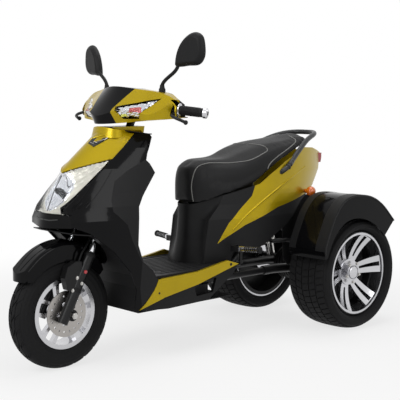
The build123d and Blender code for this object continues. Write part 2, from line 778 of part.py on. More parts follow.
save(main_frame, "main_frame")

# ---------------------------------------------------------------- floor, belly and side covers
floor_z = 335.0
floor_plan = [(385, 180), (340, 188), (140, 189), (-80, 189), (-80, -189), (140, -189), (340, -188), (385, -180)]
with BuildPart() as floorboard:
    with BuildSketch(Plane.XY.offset(floor_z - 10)):
        with BuildLine():
            Polyline(*floor_plan, close=True)
        make_face()
    extrude(amount=10)
save(floorboard, "floorboard")

lower_cover = [(352, 324), (446, 238), (440, 211), (301, 200), (86, 205), (-60, 300), (-74, 324)]
yellow_stripe = [(474, 227), (364, 324), (156, 330), (-11, 356), (-75, 336), (155, 278), (339, 248)]
cover_window = [(150, 228), (60, 234), (40, 290), (90, 292), (160, 262)]
with BuildPart() as side_covers:
    for sign in (1, -1):
        low, high = sorted((sign * 176, sign * 190))
        with BuildSketch(side_plane(high)):
            with BuildLine():
                Polyline(*lower_cover, close=True)
            make_face()
            with BuildLine():
                Polyline(*cover_window, close=True)
            make_face(mode=Mode.SUBTRACT)
        extrude(amount=high - low)
    add(front_shell.part, mode=Mode.SUBTRACT)
    add(shield_wall.part, mode=Mode.SUBTRACT)
    add(inner_fender.part, mode=Mode.SUBTRACT)
save(side_covers, "side_covers")

with BuildPart() as stripe_blanks:
    for sign in (1, -1):
        low, high = sorted((sign * 190, sign * 202))
        add(side_slab(yellow_stripe, low, high))
    add(front_body(0), mode=Mode.SUBTRACT)
with BuildPart() as side_stripes:
    add(stripe_blanks.part.solids().sort_by(SortBy.VOLUME)[-2:])
save(side_stripes, "side_stripes")

with BuildPart() as battery_pack:
    with BuildSketch(Plane.XY.offset(204)):
        with Locations((165, 0)):
            Rectangle(370, 150)
    extrude(amount=110)
save(battery_pack, "battery_pack")

with BuildPart() as belly_pan:
    add(side_slab([(440, 200), (440, 204), (-60, 204), (-60, 200)], -176, 176))
save(belly_pan, "belly_pan")

# ---------------------------------------------------------------- rear body
# level sections: height, then nose x, cheek, hollow, wing, waist and tail corner as (x, y), tail x
rear_levels = [
    (335, 86, (78, 40), (60, 74), (40, 112), (-250, 165), (-520, 140), -580),
    (430, 68, (62, 32), (36, 64), (25, 110), (-280, 186), (-560, 148), -615),
    (516, 61, (56, 27), (25, 60), (11, 112), (-310, 196), (-600, 138), -660),
    (575, 61, (56, 28), (18, 64), (-40, 120), (-330, 194), (-630, 118), -688),
    (628, 62, (54, 36), (10, 72), (-66, 124), (-335, 190), (-655, 98), -705),
    (690, 62, (48, 46), (0, 84), (-84, 130), (-340, 182), (-722, 70), -750),
    (760, 62, (44, 50), (-4, 88), (-90, 130), (-340, 172), (-758, 44), -774),
    (860, 62, (40, 52), (-8, 88), (-94, 126), (-340, 150), (-772, 36), -786),
]


def rear_body(inset):
    """The body under the seat as one closed form, lofted up through its level sections."""
    with BuildPart() as body:
        for height, nose_x, cheek, hollow, wing, waist, tail, tail_x in rear_levels:
            side = [(tail[0] + inset, tail[1] - inset), (waist[0], waist[1] - inset),
                    (wing[0] - inset, wing[1] - inset)]
            front = [side[-1], (hollow[0] - inset, hollow[1]), (cheek[0] - inset, cheek[1] - inset / 2)]
            with BuildSketch(Plane.XY.offset(height)):
                with BuildLine():
                    Spline(*side)
                    Spline(*front, (nose_x - inset, 0), *[(x, -y) for x, y in reversed(front)])
                    Spline(*[(x, -y) for x, y in reversed(side)])
                    ThreePointArc((side[0][0], -side[0][1]), (tail_x + inset, 0), side[0])
                make_face()
        loft(ruled=True)
    return body.part


seat_line = [(90, 578), (45, 578), (0, 590), (-64, 615), (-177, 643), (-228, 656), (-290, 694), (-387, 742),
             (-480, 774), (-547, 796), (-640, 790), (-700, 776), (-800, 752)]
under_line = [(-800, 712), (-742, 712), (-700, 662), (-644, 624), (-557, 598), (-486, 567), (-390, 478), (-295, 426),
              (-246, 390), (-100, 385), (-80, floor_z), (90, floor_z)]
yellow_area_rear = [(-21, 415), (-70, 500), (-125, 556), (-182, 607), (-211, 671), (-230, 740), (-820, 860),
                    (-820, 712), (-742, 712), (-700, 662), (-644, 624), (-557, 598), (-317, 552), (-143, 487),
                    (-50, 435)]
with BuildPart() as rear_solid:
    add(rear_body(0))
    add(side_slab([*seat_line, *under_line], -260, 260), mode=Mode.INTERSECT)
with BuildPart() as rear_shell:
    add(rear_solid.part)
    add(rear_body(skin), mode=Mode.SUBTRACT)

yellow_sides = side_slab(yellow_area_rear, 34, 260) + side_slab(yellow_area_rear, -260, -34)
tail_cut_x = -730.0
tail_area = side_slab([(-900, 600), (tail_cut_x, 600), (tail_cut_x, 900), (-900, 900)], -34, 34)
with BuildPart() as rear_panels:
    add(rear_shell.part)
    add(yellow_sides, mode=Mode.INTERSECT)
save(rear_panels, "rear_panels")

with BuildPart() as under_seat_body:
    add(rear_shell.part)
    add(yellow_sides, mode=Mode.SUBTRACT)
    add(tail_area, mode=Mode.SUBTRACT)
save(under_seat_body, "under_seat_body")

with BuildPart() as tail_cover:
    add(rear_shell.part)
    add(tail_area, mode=Mode.INTERSECT)
save(tail_cover, "tail_cover")

bucket_x = -165.0
bucket_length = 230.0
bucket_width = 200.0
bucket_levels = (480.0, 660.0)
with BuildPart() as seat_bucket:
    with BuildSketch(Plane.XY.offset(bucket_levels[0])):
        with Locations((bucket_x, 0)):
            RectangleRounded(bucket_length, bucket_width, 30)
    extrude(amount=bucket_levels[1] - bucket_levels[0])
    with BuildSketch(Plane.XY.offset(bucket_levels[0] + skin)):
        with Locations((bucket_x, 0)):
            RectangleRounded(bucket_length - 2 * skin, bucket_width - 2 * skin, 26)
    extrude(amount=bucket_levels[1], mode=Mode.SUBTRACT)
    add(side_slab([*seat_line, (-800, 900), (90, 900)], -200, 200), mode=Mode.SUBTRACT)
save(seat_bucket, "seat_bucket")

# ---------------------------------------------------------------- seat, opening forwards on its nose hinge
# sections across the seat: x, then low z, crown z, half width and half width of the crown
seat_sections = [
    (64, 604, 706, 30, 20), (46, 584, 738, 60, 42), (0, 584, 752, 98, 70), (-64, 606, 755, 128, 92),
    (-130, 624, 757, 142, 104), (-200, 640, 772, 148, 110), (-300, 690, 803, 148, 110), (-400, 738, 823, 140, 102),
    (-540, 785, 841, 112, 82), (-620, 792, 850, 82, 58), (-656, 798, 846, 52, 36),
]
with BuildPart() as seat_cushion:
    for x, low_z, high_z, wide, top in seat_sections:
        tall = high_z - low_z
        left = [(wide, low_z), (wide + 2, low_z + 0.45 * tall), (wide * 0.93, low_z + 0.76 * tall), (top, high_z - 9)]
        with BuildSketch(front_plane(x)):
            with BuildLine():
                edge = Spline(*left, (0, high_z), *[(-y, z) for y, z in reversed(left)])
                Line(edge @ 1, edge @ 0)
            make_face()
    loft()
    add(side_slab([*[(x, z + rest_gap) for x, z in seat_line], (-800, 500), (90, 500)], -260, 260), mode=Mode.SUBTRACT)
save(seat_cushion, "seat_cushion")

# ---------------------------------------------------------------- grab rail, tail lamp, rear signals
rail_points = [(-342, 168, 692), (-380, 184, 714), (-436, 168, 745), (-515, 144, 793), (-602, 114, 832),
               (-676, 82, 850), (-708, 42, 854), (-716, 0, 854)]
rail_radius = 11.0
with BuildPart() as grab_rail:
    with BuildLine() as rail_path:
        Spline(*rail_points, *[on_side(point, -1) for point in reversed(rail_points[:-1])])
    with BuildSketch(Plane(origin=rail_path.line @ 0, z_dir=rail_path.line % 0)):
        Circle(rail_radius)
    sweep(path=rail_path.wire())
save(grab_rail, "grab_rail")

lamp_depth = 8.0
with BuildPart() as tail_lamp:
    add(rear_body(-lamp_depth))
    add(rear_body(0), mode=Mode.SUBTRACT)
    add(side_slab([(-900, 716), (tail_cut_x + 4, 716), (tail_cut_x + 4, 762), (-900, 745)], -60, 60),
        mode=Mode.INTERSECT)
save(tail_lamp, "tail_lamp")

signal_x = -534.0
signal_y = 190.0
signal_z = 604.0
with BuildPart() as rear_signals:
    for sign in (1, -1):
        with BuildSketch(side_plane(sign * 112)):
            with Locations((signal_x, signal_z)):
                Circle(9)
        extrude(amount=-sign * 70)
        with Locations((signal_x, sign * signal_y, signal_z)):
            Sphere(22)
    add(rear_solid.part, mode=Mode.SUBTRACT)
save(rear_signals, "rear_signals")

# ---------------------------------------------------------------- rear fenders, axle, suspension
fender_crown = [(-362, 345), (-360, 392), (-391, 465), (-428, 533), (-485, 585), (-560, 602), (-660, 590), (-745, 548),
                (-828, 474)]
fender_opening = [(-378, 352), (-402, 405), (-440, 455), (-495, 492), (-560, 503), (-650, 485), (-715, 450),
                  (-762, 408)]
rear_fender_skin = 6.0
rear_fender_outer_y = 425.0
fender_wall_radius = rear_tyre_radius + 16


def toward_axle(point, distance):
    reach = hypot(point[0] - rear_axle_x, point[1] - rear_axle_z)
    keep = (reach - distance) / reach
    return (rear_axle_x + (point[0] - rear_axle_x) * keep, rear_axle_z + (point[1] - rear_axle_z) * keep)


with BuildPart() as rear_fenders:
    for sign in (1, -1):
        low, high = sorted((sign * rear_fender_inner_y, sign * rear_fender_outer_y))
        with BuildSketch(side_plane(high)):
            with BuildLine():
                crown = Spline(*fender_crown)
                inside = Spline(*[toward_axle(point, rear_fender_skin) for point in fender_crown])
                Line(crown @ 0, inside @ 0)
                Line(crown @ 1, inside @ 1)
            make_face()
        extrude(amount=high - low)
        with BuildSketch(side_plane(sign * rear_fender_outer_y)):
            with BuildLine():
                crown = Spline(*fender_crown)
                opening = Spline(*fender_opening)
                Line(crown @ 0, opening @ 0)
                Line(crown @ 1, opening @ 1)
            make_face()
        extrude(amount=sign * rear_fender_skin)
        with BuildSketch(side_plane(sign * rear_fender_inner_y)):
            with BuildLine():
                crown = Spline(*fender_crown)
                Line(crown @ 0, crown @ 1)
            make_face()
            with Locations((rear_axle_x, rear_axle_z)):
                Circle(fender_wall_radius, mode=Mode.SUBTRACT)
        extrude(amount=-sign * rear_fender_skin)
save(rear_fenders, "rear_fenders")

drum_radius = 71.0
with BuildPart() as rear_axle:
    with BuildSketch(side_plane(rear_hub_inner_y - 8)):
        with Locations((rear_axle_x, rear_axle_z)):
            Circle(30)
    extrude(amount=2 * (rear_hub_inner_y - 8))
    with BuildSketch(side_plane(60)):
        with Locations((rear_axle_x, rear_axle_z)):
            Circle(drum_radius)
    extrude(amount=120)
    with BuildSketch(side_plane(rear_wheel_y + 20)):
        with Locations((rear_axle_x, rear_axle_z)):
            Circle(rear_axle_radius)
    extrude(amount=2 * (rear_wheel_y + 20))
save(rear_axle, "rear_axle")

with BuildPart() as swingarm:
    for sign in (1, -1):
        add(rod([(swingarm_pivot_x, sign * rail_y, rail_z), (-400, sign * rail_y, rail_z),
                 (-560, sign * 110, 255), (rear_axle_x, sign * 120, rear_axle_z)], 20))
    add(rear_axle.part, mode=Mode.SUBTRACT)
save(swingarm, "swingarm")

with BuildPart() as shocks:
    for sign in (1, -1):
        add(rod([(rear_axle_x, sign * 150, 270), (-530, sign * 118, 600)], 20))
    add(rear_axle.part, mode=Mode.SUBTRACT)
    add(main_frame.part, mode=Mode.SUBTRACT)
save(shocks, "shocks")

# ---------------------------------------------------------------- folding passenger pegs
peg_end = (-78.0, 321.0, 406.0)
for side, sign in (("left", 1), ("right", -1)):
    with BuildPart() as peg:
        add(rod([(peg_x, sign * peg_y, peg_z), on_side(peg_end, sign)], 11))
        with BuildSketch(front_plane(peg_x - peg_knuckle_half)):
            with Locations((sign * peg_y, peg_z)):
                Circle(11)
        extrude(amount=2 * peg_knuckle_half)
        low, high = sorted((sign * (peg_y - 11), sign * (peg_y + 20)))
        for x_from in (peg_x - 40, peg_x + peg_knuckle_half):
            add(side_slab([(x_from, peg_z - 20), (x_from + 28, peg_z - 20), (x_from + 28, peg_z + 20),
                           (x_from, peg_z + 20)], low, high), mode=Mode.SUBTRACT)
        with BuildSketch(front_plane(peg_x - 20)):
            with Locations((sign * peg_y, peg_z)):
                Circle(4 + bearing_gap)
        extrude(amount=40, mode=Mode.SUBTRACT)
    save(peg, "peg_" + side)
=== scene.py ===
"""Looks of the electric mobility tricycle: finishes, tread, trim, lamps and the padded seat, over the CAD frame."""

import json
import math

import bmesh
import bpy
from mathutils import Matrix, Vector
from mathutils.bvhtree import BVHTree


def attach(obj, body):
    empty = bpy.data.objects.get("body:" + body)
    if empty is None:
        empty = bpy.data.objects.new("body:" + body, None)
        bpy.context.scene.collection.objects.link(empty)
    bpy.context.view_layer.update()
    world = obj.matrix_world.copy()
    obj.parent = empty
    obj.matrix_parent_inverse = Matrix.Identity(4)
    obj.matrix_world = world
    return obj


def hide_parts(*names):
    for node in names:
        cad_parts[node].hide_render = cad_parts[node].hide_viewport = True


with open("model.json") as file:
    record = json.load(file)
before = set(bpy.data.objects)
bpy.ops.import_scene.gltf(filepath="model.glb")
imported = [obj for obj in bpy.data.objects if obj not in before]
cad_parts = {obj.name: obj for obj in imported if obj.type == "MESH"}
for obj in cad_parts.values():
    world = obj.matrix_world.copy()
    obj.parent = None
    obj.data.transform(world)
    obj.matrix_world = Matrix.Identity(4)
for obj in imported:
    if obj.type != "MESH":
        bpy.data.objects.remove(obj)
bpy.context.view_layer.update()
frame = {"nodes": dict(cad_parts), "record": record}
NODES = frame["nodes"]

# ---------------------------------------------------------------- camera of the photograph
PICTURE = 400
SENSOR = 36
YAW, PITCH, ROLL = 3.9642, -0.1105, 0.0025
FOCAL = 1011.4
EYE = Vector((2.8471, 3.1135, 1.0568))
AHEAD = Vector((math.cos(PITCH) * math.cos(YAW), math.cos(PITCH) * math.sin(YAW), math.sin(PITCH)))
_right = AHEAD.cross(Vector((0, 0, 1))).normalized()
_up = _right.cross(AHEAD)
RIGHT = math.cos(ROLL) * _right + math.sin(ROLL) * _up
UP = -math.sin(ROLL) * _right + math.cos(ROLL) * _up

camera = bpy.data.objects.new("camera", bpy.data.cameras.new("camera"))
bpy.context.collection.objects.link(camera)
camera.data.sensor_width = SENSOR
camera.data.lens = SENSOR * FOCAL / PICTURE
camera.data.clip_end = 60
camera.matrix_world = Matrix((
    (RIGHT.x, UP.x, -AHEAD.x, EYE.x), (RIGHT.y, UP.y, -AHEAD.y, EYE.y), (RIGHT.z, UP.z, -AHEAD.z, EYE.z), (0, 0, 0, 1)))
bpy.context.scene.camera = camera


def sight(px, py):
    """Direction from the camera through a point of the square picture."""
    return (AHEAD * FOCAL + RIGHT * (px - PICTURE / 2) - UP * (py - PICTURE / 2)).normalized()


# ---------------------------------------------------------------- materials
GRAIN_DEPTH = 0.0006
DRIFT_SCALE = 9
FLAKE_SCALE = 1400
CLEAR_IOR = 1.15
COAT_ROUGH = 0.04
DARKER, LIGHTER = 0.88, 1.10


def material(name, colour, rough, metal=0.0, coat=0.0, bump=0.1, grain=600.0, vary=0.08, clear=0.0, specular=0.5,
             flake=0.0, brushed=(1, 1, 1)):
    """A finish with fine grain in its bump, and drifting roughness and colour."""
    m = bpy.data.materials.new(name)
    m.use_nodes = True
    nodes, links = m.node_tree.nodes, m.node_tree.links
    shader = nodes["Principled BSDF"]
    place = nodes.new("ShaderNodeTexCoord")
    stretch = nodes.new("ShaderNodeMapping")
    stretch.inputs["Scale"].default_value = brushed
    links.new(place.outputs["Object"], stretch.inputs["Vector"])
    fine = nodes.new("ShaderNodeTexNoise")
    fine.inputs["Scale"].default_value = grain
    fine.inputs["Detail"].default_value = 3
    links.new(stretch.outputs[0], fine.inputs["Vector"])
    broad = nodes.new("ShaderNodeTexNoise")
    broad.inputs["Scale"].default_value = DRIFT_SCALE
    broad.inputs["Detail"].default_value = 4
    links.new(place.outputs["Object"], broad.inputs["Vector"])
    spread = nodes.new("ShaderNodeMapRange")
    spread.inputs["To Min"].default_value = max(0.02, rough - vary)
    spread.inputs["To Max"].default_value = min(1.0, rough + vary)
    links.new(broad.outputs[0], spread.inputs["Value"])
    links.new(spread.outputs[0], shader.inputs["Roughness"])
    tint = nodes.new("ShaderNodeMixRGB")
    tint.inputs["Color1"].default_value = (*[c * DARKER for c in colour], 1)
    tint.inputs["Color2"].default_value = (*[min(1, c * LIGHTER) for c in colour], 1)
    links.new(broad.outputs[0], tint.inputs["Fac"])
    links.new(tint.outputs[0], shader.inputs["Base Color"])
    relief = nodes.new("ShaderNodeBump")
    relief.inputs["Strength"].default_value = bump
    relief.inputs["Distance"].default_value = GRAIN_DEPTH
    links.new(fine.outputs[0], relief.inputs["Height"])
    links.new(relief.outputs[0], shader.inputs["Normal"])
    if flake:
        spark = nodes.new("ShaderNodeTexVoronoi")
        spark.inputs["Scale"].default_value = FLAKE_SCALE
        links.new(place.outputs["Object"], spark.inputs["Vector"])
        lift = nodes.new("ShaderNodeMapRange")
        lift.inputs["To Min"].default_value = max(0.0, metal - flake)
        lift.inputs["To Max"].default_value = min(1.0, metal + flake)
        links.new(spark.outputs["Color"], lift.inputs["Value"])
        links.new(lift.outputs[0], shader.inputs["Metallic"])
    else:
        shader.inputs["Metallic"].default_value = metal
    shader.inputs["Coat Weight"].default_value = coat
    shader.inputs["Coat Roughness"].default_value = COAT_ROUGH
    shader.inputs["Specular IOR Level"].default_value = specular
    shader.inputs["Transmission Weight"].default_value = clear
    if clear:
        shader.inputs["IOR"].default_value = CLEAR_IOR
    return m


FINISH = {
    "tyre": material("tyre", (0.011, 0.011, 0.0115), 0.7, bump=0.5, grain=420, vary=0.1, specular=0.14),
    "silver_alloy": material("silver_alloy", (0.58, 0.58, 0.60), 0.24, metal=1.0, bump=0.06, grain=900, vary=0.07,
                             brushed=(1, 0.2, 1)),
    "disc_steel": material("disc_steel", (0.42, 0.40, 0.38), 0.34, metal=1.0, bump=0.15, grain=700, vary=0.1),
    "black_metal": material("black_metal", (0.009, 0.009, 0.0095), 0.4, coat=0.06, specular=0.2, bump=0.2, grain=500,
                            vary=0.1),
    "chrome": material("chrome", (0.82, 0.83, 0.86), 0.10, metal=1.0, bump=0.03, grain=300, vary=0.04),
    "steel": material("steel", (0.55, 0.54, 0.52), 0.30, metal=1.0, bump=0.1, grain=800, vary=0.1),
    "gloss_black": material("gloss_black", (0.0035, 0.0035, 0.004), 0.12, coat=0.10, bump=0.02, grain=60, vary=0.05,
                            specular=0.06),
    "matte_black": material("matte_black", (0.010, 0.010, 0.0105), 0.5, bump=0.4, grain=1100, vary=0.08,
                            specular=0.16),
    "yellow": material("yellow", (0.43, 0.308, 0.002), 0.30, metal=0.55, coat=0.16, bump=0.03, grain=80, vary=0.05,
                       specular=0.18, flake=0.3),
    "clear": material("clear", (0.97, 0.98, 1.0), 0.03, clear=1.0, specular=0.4, bump=0.01, grain=40, vary=0.01),
    "grip_rubber": material("grip_rubber", (0.009, 0.009, 0.0095), 0.6, bump=0.5, grain=800, vary=0.1, specular=0.18),
    "battery": material("battery", (0.02, 0.02, 0.021), 0.5, bump=0.3, grain=600, specular=0.2),
    "seat_vinyl": material("seat_vinyl", (0.009, 0.009, 0.0095), 0.5, bump=0.8, grain=520, vary=0.09, specular=0.18),
    "satin_grey": material("satin_grey", (0.022, 0.023, 0.024), 0.38, coat=0.1, specular=0.25, bump=0.15, grain=700),
    "red_lens": material("red_lens", (0.45, 0.008, 0.01), 0.10, coat=0.8, bump=0.2, grain=160, vary=0.04),
    "amber": material("amber", (0.78, 0.16, 0.012), 0.12, coat=0.8, bump=0.25, grain=200, vary=0.05),
}

PIPING = material("piping", (0.22, 0.22, 0.21), 0.6, bump=0.4, grain=900)
CREAM = material("lamp_cream", (0.62, 0.60, 0.52), 0.3, metal=0.25, coat=0.4, bump=0.05, grain=200)
LAMP_GLASS = material("lamp_glass", (0.9, 0.93, 0.97), 0.05, clear=0.9, bump=0.02, grain=40, vary=0.02)
MESH_BLACK = material("mesh_black", (0.012, 0.013, 0.012), 0.5, bump=0.2)
RED_MARK = material("red_reflector", (0.55, 0.01, 0.02), 0.12, coat=0.8, bump=0.3, grain=240)
GAUGE = material("gauge_glass", (0.02, 0.03, 0.035), 0.06, coat=1.0, bump=0.01, grain=30)
MIRROR_GLASS = material("mirror_glass", (0.86, 0.88, 0.9), 0.03, metal=1.0, bump=0.005, grain=20, vary=0.01)

for part in frame["record"]["subparts"]:
    node = NODES[part["node"]]
    node.data.materials.clear()
    node.data.materials.append(FINISH[part["material_slot"]])


# ---------------------------------------------------------------- piece helpers
SHARP = math.radians(38)


def merged(name, parts, look, body, smooth=True):
    """One piece from point and face lists, riding on a body. Its look is a slot's name or a finish of its own."""
    slot = look if isinstance(look, str) else None
    points, faces = [], []
    for some_points, some_faces in parts:
        base = len(points)
        points += some_points
        faces += [[base + i for i in face] for face in some_faces]
    data = bpy.data.meshes.new(name)
    data.from_pydata([tuple(p) for p in points], [], faces)
    mesh = bmesh.new()
    mesh.from_mesh(data)
    bmesh.ops.recalc_face_normals(mesh, faces=mesh.faces)
    mesh.to_mesh(data)
    mesh.free()
    data.update()
    obj = bpy.data.objects.new(name, data)
    bpy.context.collection.objects.link(obj)
    data.materials.append(FINISH[slot] if slot else look)
    if smooth:
        data.shade_smooth()
        data.set_sharp_from_angle(angle=SHARP)
    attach(obj, body)
    return obj


def lathe(profile, centre, steps=96):
    """A closed profile of (y, radius) points turned round an axle along Y."""
    x, y, z = centre
    points, faces, count = [], [], len(profile)
    for i in range(steps):
        a = math.tau * i / steps
        points += [Vector((x + r * math.cos(a), y + across, z + r * math.sin(a))) for across, r in profile]
    for i in range(steps):
        for j in range(count):
            k = (j + 1) % count
            n = (i + 1) % steps
            faces.append([i * count + j, i * count + k, n * count + k, n * count + j])
    return points, faces


def rod(path, radius, sides, closed=False):
    """A round tube along a list of points."""
    path = [Vector(p) for p in path]
    points, faces, count = [], [], len(path)
    normal = None
    for i, p in enumerate(path):
        before = path[i - 1] if (i or closed) else p
        after = path[(i + 1) % count] if (i < count - 1 or closed) else p
        run = (after - before).normalized()
        if normal is None:
            normal = run.orthogonal().normalized()
        normal = (normal - run * normal.dot(run)).normalized()
        other = run.cross(normal)
        points += [p + radius * (math.cos(math.tau * k / sides) * normal + math.sin(math.tau * k / sides) * other)
                   for k in range(sides)]
    for i in range(count if closed else count - 1):
        n = (i + 1) % count
        faces += [[i * sides + k, i * sides + (k + 1) % sides, n * sides + (k + 1) % sides, n * sides + k]
                  for k in range(sides)]
    if not closed:
        faces += [list(range(sides)), [(count - 1) * sides + k for k in range(sides)]]
    return points, faces


def spin(centre, axis, profile, sides):
    """A solid of revolution about any axis from (distance along, radius) points."""
    axis = Vector(axis).normalized()
    u = axis.orthogonal().normalized()
    w = axis.cross(u)
    points, faces = [], []
    for along, r in profile:
        points += [Vector(centre) + axis * along + r * (math.cos(math.tau * k / sides) * u
                                                        + math.sin(math.tau * k / sides) * w) for k in range(sides)]
    for j in range(len(profile) - 1):
        faces += [[j * sides + k, j * sides + (k + 1) % sides, (j + 1) * sides + (k + 1) % sides, (j + 1) * sides + k]
                  for k in range(sides)]
    faces += [list(range(sides)), [(len(profile) - 1) * sides + k for k in range(sides)]]
    return points, faces


def bolt(centre, axis, radius, height):
    """A hexagon head on a washer."""
    washer = spin(centre, axis, [(0, radius * 1.35), (height * 0.25, radius * 1.35)], 20)
    head = spin(Vector(centre) + Vector(axis).normalized() * height * 0.25, axis,
                [(0, radius), (height * 0.65, radius), (height * 0.75, radius * 0.86)], 6)
    return [washer, head]


def slab(corners, shift):
    """A prism from a loop of corner points and a shift vector."""
    n = len(corners)
    points = [Vector(c) for c in corners] + [Vector(c) + Vector(shift) for c in corners]
    faces = [list(range(n)), [n + k for k in range(n)]]
    faces += [[k, (k + 1) % n, n + (k + 1) % n, n + k] for k in range(n)]
    return points, faces


def mirrored(part):
    """A part's mirror image on the other side."""
    points, faces = part
    return [Vector((p[0], -p[1], p[2])) for p in points], faces


def both_sides(parts):
    """Parts and their mirror images."""
    return parts + [mirrored(p) for p in parts]


def smooth_path(points, steps):
    """A Catmull-Rom path through points."""
    points = [Vector(p) for p in points]
    padded = [points[0] * 2 - points[1], *points, points[-1] * 2 - points[-2]]
    out = []
    for a, b, c, d in zip(padded, padded[1:], padded[2:], padded[3:]):
        for i in range(steps):
            t = i / steps
            out.append(0.5 * (2 * b + (c - a) * t + (2 * a - 5 * b + 4 * c - d) * t * t
                              + (3 * b - a - 3 * c + d) * t ** 3))
    return out + [points[-1]]


def tree(obj):
    """A mesh object's faces, ready for rays."""
    graph = bpy.context.evaluated_depsgraph_get()
    return BVHTree.FromObject(obj, graph)


SIDES = (("left", 1), ("right", -1))
AHEAD_OF_ALL = 1.3
FACES_AHEAD = 0.2
MIDDLE_SLACK = 0.004


def from_ahead(surface, y, z):
    """Where a level ray from ahead meets a surface, and the normal there."""
    return surface.ray_cast(Vector((AHEAD_OF_ALL, y, z)), Vector((-1, 0, 0)))[:2]


def on_photo(surface, pixels, lift=0.0):
    """Points of a surface's left side seen through picture points, lifted off it along its normal."""
    out = []
    for px, py in pixels:
        place, normal, _, _ = surface.ray_cast(EYE, sight(px, py))
        if place is not None and place.y > -MIDDLE_SLACK:
            normal = normal if normal.dot(EYE - place) > 0 else -normal
            out.append(place + normal * lift)
    return out


# ---------------------------------------------------------------- light and floor
scene = bpy.context.scene
scene.view_settings.view_transform = "Standard"
WORLD_LIGHT = 0.26
FLOOR_WHITE = 0.93
FLOOR_NEAR, FLOOR_FAR, FLOOR_SHARE, FLOOR_HALF = 0.9, 2.6, 0.74, 9


def camera_or_mirror(nodes, links):
    """1 where a ray comes from the camera, a reflection or a lens."""
    paths = nodes.new("ShaderNodeLightPath")
    first = nodes.new("ShaderNodeMath")
    first.operation = "MAXIMUM"
    links.new(paths.outputs["Is Camera Ray"], first.inputs[0])
    links.new(paths.outputs["Is Glossy Ray"], first.inputs[1])
    second = nodes.new("ShaderNodeMath")
    second.operation = "MAXIMUM"
    links.new(first.outputs[0], second.inputs[0])
    links.new(paths.outputs["Is Transmission Ray"], second.inputs[1])
    return second.outputs[0]


world = bpy.data.worlds.new("studio")
scene.world = world
world.use_nodes = True
back = world.node_tree.nodes["Background"]
back.inputs["Color"].default_value = (1, 1, 1, 1)
level = world.node_tree.nodes.new("ShaderNodeMapRange")
level.inputs["To Min"].default_value = WORLD_LIGHT
level.inputs["To Max"].default_value = 1.0
world.node_tree.links.new(camera_or_mirror(world.node_tree.nodes, world.node_tree.links), level.inputs["Value"])
world.node_tree.links.new(level.outputs[0], back.inputs["Strength"])


def soft_light(name, place, target, size, power):
    """A rectangular lamp aimed at a point."""
    lamp = bpy.data.lights.new(name, "AREA")
    lamp.shape = "RECTANGLE"
    lamp.size, lamp.size_y = size
    lamp.energy = power
    obj = bpy.data.objects.new(name, lamp)
    bpy.context.collection.objects.link(obj)
    obj.location = place
    obj.rotation_euler = (Vector(target) - Vector(place)).to_track_quat("-Z", "Y").to_euler()


soft_light("key", (3.2, 0.6, 2.6), (0.2, 0.1, 0.5), (1.6, 1.6), 46)
soft_light("side", (0.2, 3.6, 2.4), (-0.2, 0, 0.5), (2.2, 1.2), 30)
soft_light("top", (-0.4, 0.2, 3.4), (-0.2, 0, 0.5), (2.0, 2.0), 34)

floor_white = bpy.data.materials.new("studio_floor")
floor_white.use_nodes = True
grown, wires = floor_white.node_tree.nodes, floor_white.node_tree.links
dull = grown["Principled BSDF"]
dull.inputs["Base Color"].default_value = (FLOOR_WHITE, FLOOR_WHITE, FLOOR_WHITE, 1)
dull.inputs["Roughness"].default_value = 0.9
dull.inputs["Specular IOR Level"].default_value = 0.0
bright = grown.new("ShaderNodeEmission")
bright.inputs["Strength"].default_value = 1.0
share = grown.new("ShaderNodeMath")
share.operation = "MULTIPLY"
wires.new(camera_or_mirror(grown, wires), share.inputs[0])
where = grown.new("ShaderNodeTexCoord")
away = grown.new("ShaderNodeVectorMath")
away.operation = "LENGTH"
wires.new(where.outputs["Object"], away.inputs[0])
fade = grown.new("ShaderNodeMapRange")
fade.interpolation_type = "SMOOTHSTEP"
fade.inputs["From Min"].default_value = FLOOR_NEAR
fade.inputs["From Max"].default_value = FLOOR_FAR
fade.inputs["To Min"].default_value = FLOOR_SHARE
fade.inputs["To Max"].default_value = 1.0
wires.new(away.outputs["Value"], fade.inputs["Value"])
wires.new(fade.outputs[0], share.inputs[1])
blend = grown.new("ShaderNodeMixShader")
wires.new(share.outputs[0], blend.inputs["Fac"])
wires.new(dull.outputs[0], blend.inputs[1])
wires.new(bright.outputs[0], blend.inputs[2])
wires.new(blend.outputs[0], grown["Material Output"].inputs["Surface"])
ground = bpy.data.meshes.new("ground")
ground.from_pydata([(x * FLOOR_HALF, y * FLOOR_HALF, 0) for x, y in ((-1, -1), (1, -1), (1, 1), (-1, 1))], [],
                   [(0, 1, 2, 3)])
ground.materials.append(floor_white)
floor = bpy.data.objects.new("ground", ground)
bpy.context.collection.objects.link(floor)

# ---------------------------------------------------------------- wheels
FRONT = Vector((0.680, 0.0, 0.213))
REAR = Vector((-0.644, 0.283, 0.249))
FRONT_HALF, FRONT_BEAD, FRONT_OUTER, FRONT_GROOVE = 0.042, 0.127, 0.213, 0.0032
REAR_HALF, REAR_BEAD, REAR_OUTER, REAR_GROOVE = 0.112, 0.178, 0.249, 0.004
# a tyre's outside from bead to crown: share of the half width, and share of the way out
SECTION = [(0.80, 0.14), (1.0, 0.42), (0.93, 0.76), (0.62, 0.95), (0.0, 1.0)]
TREAD_STARTS, TREAD_FADES = 0.74, 0.08
WALL_RINGS, RING_RISE, RING_HALF, WALL_FROM = (0.30, 0.36, 0.56), 0.0012, 0.0022, 0.7
BEAD_SHARE, BEAD_GAP, LUG_ROOT = 0.80, 0.0002, 0.0006
FRONT_LUGS, REAR_LUGS = 24, 52


def tyre_outline(half, bead, outer):
    """(y, radius) along a tyre's outside from one bead to the other."""
    right = [(w * half, bead + h * (outer - bead)) for w, h in SECTION]
    line = smooth_path([(y, r, 0) for y, r in right] + [(-y, r, 0) for y, r in reversed(right[:-1])], 9)
    return [(p.x, p.y) for p in line]


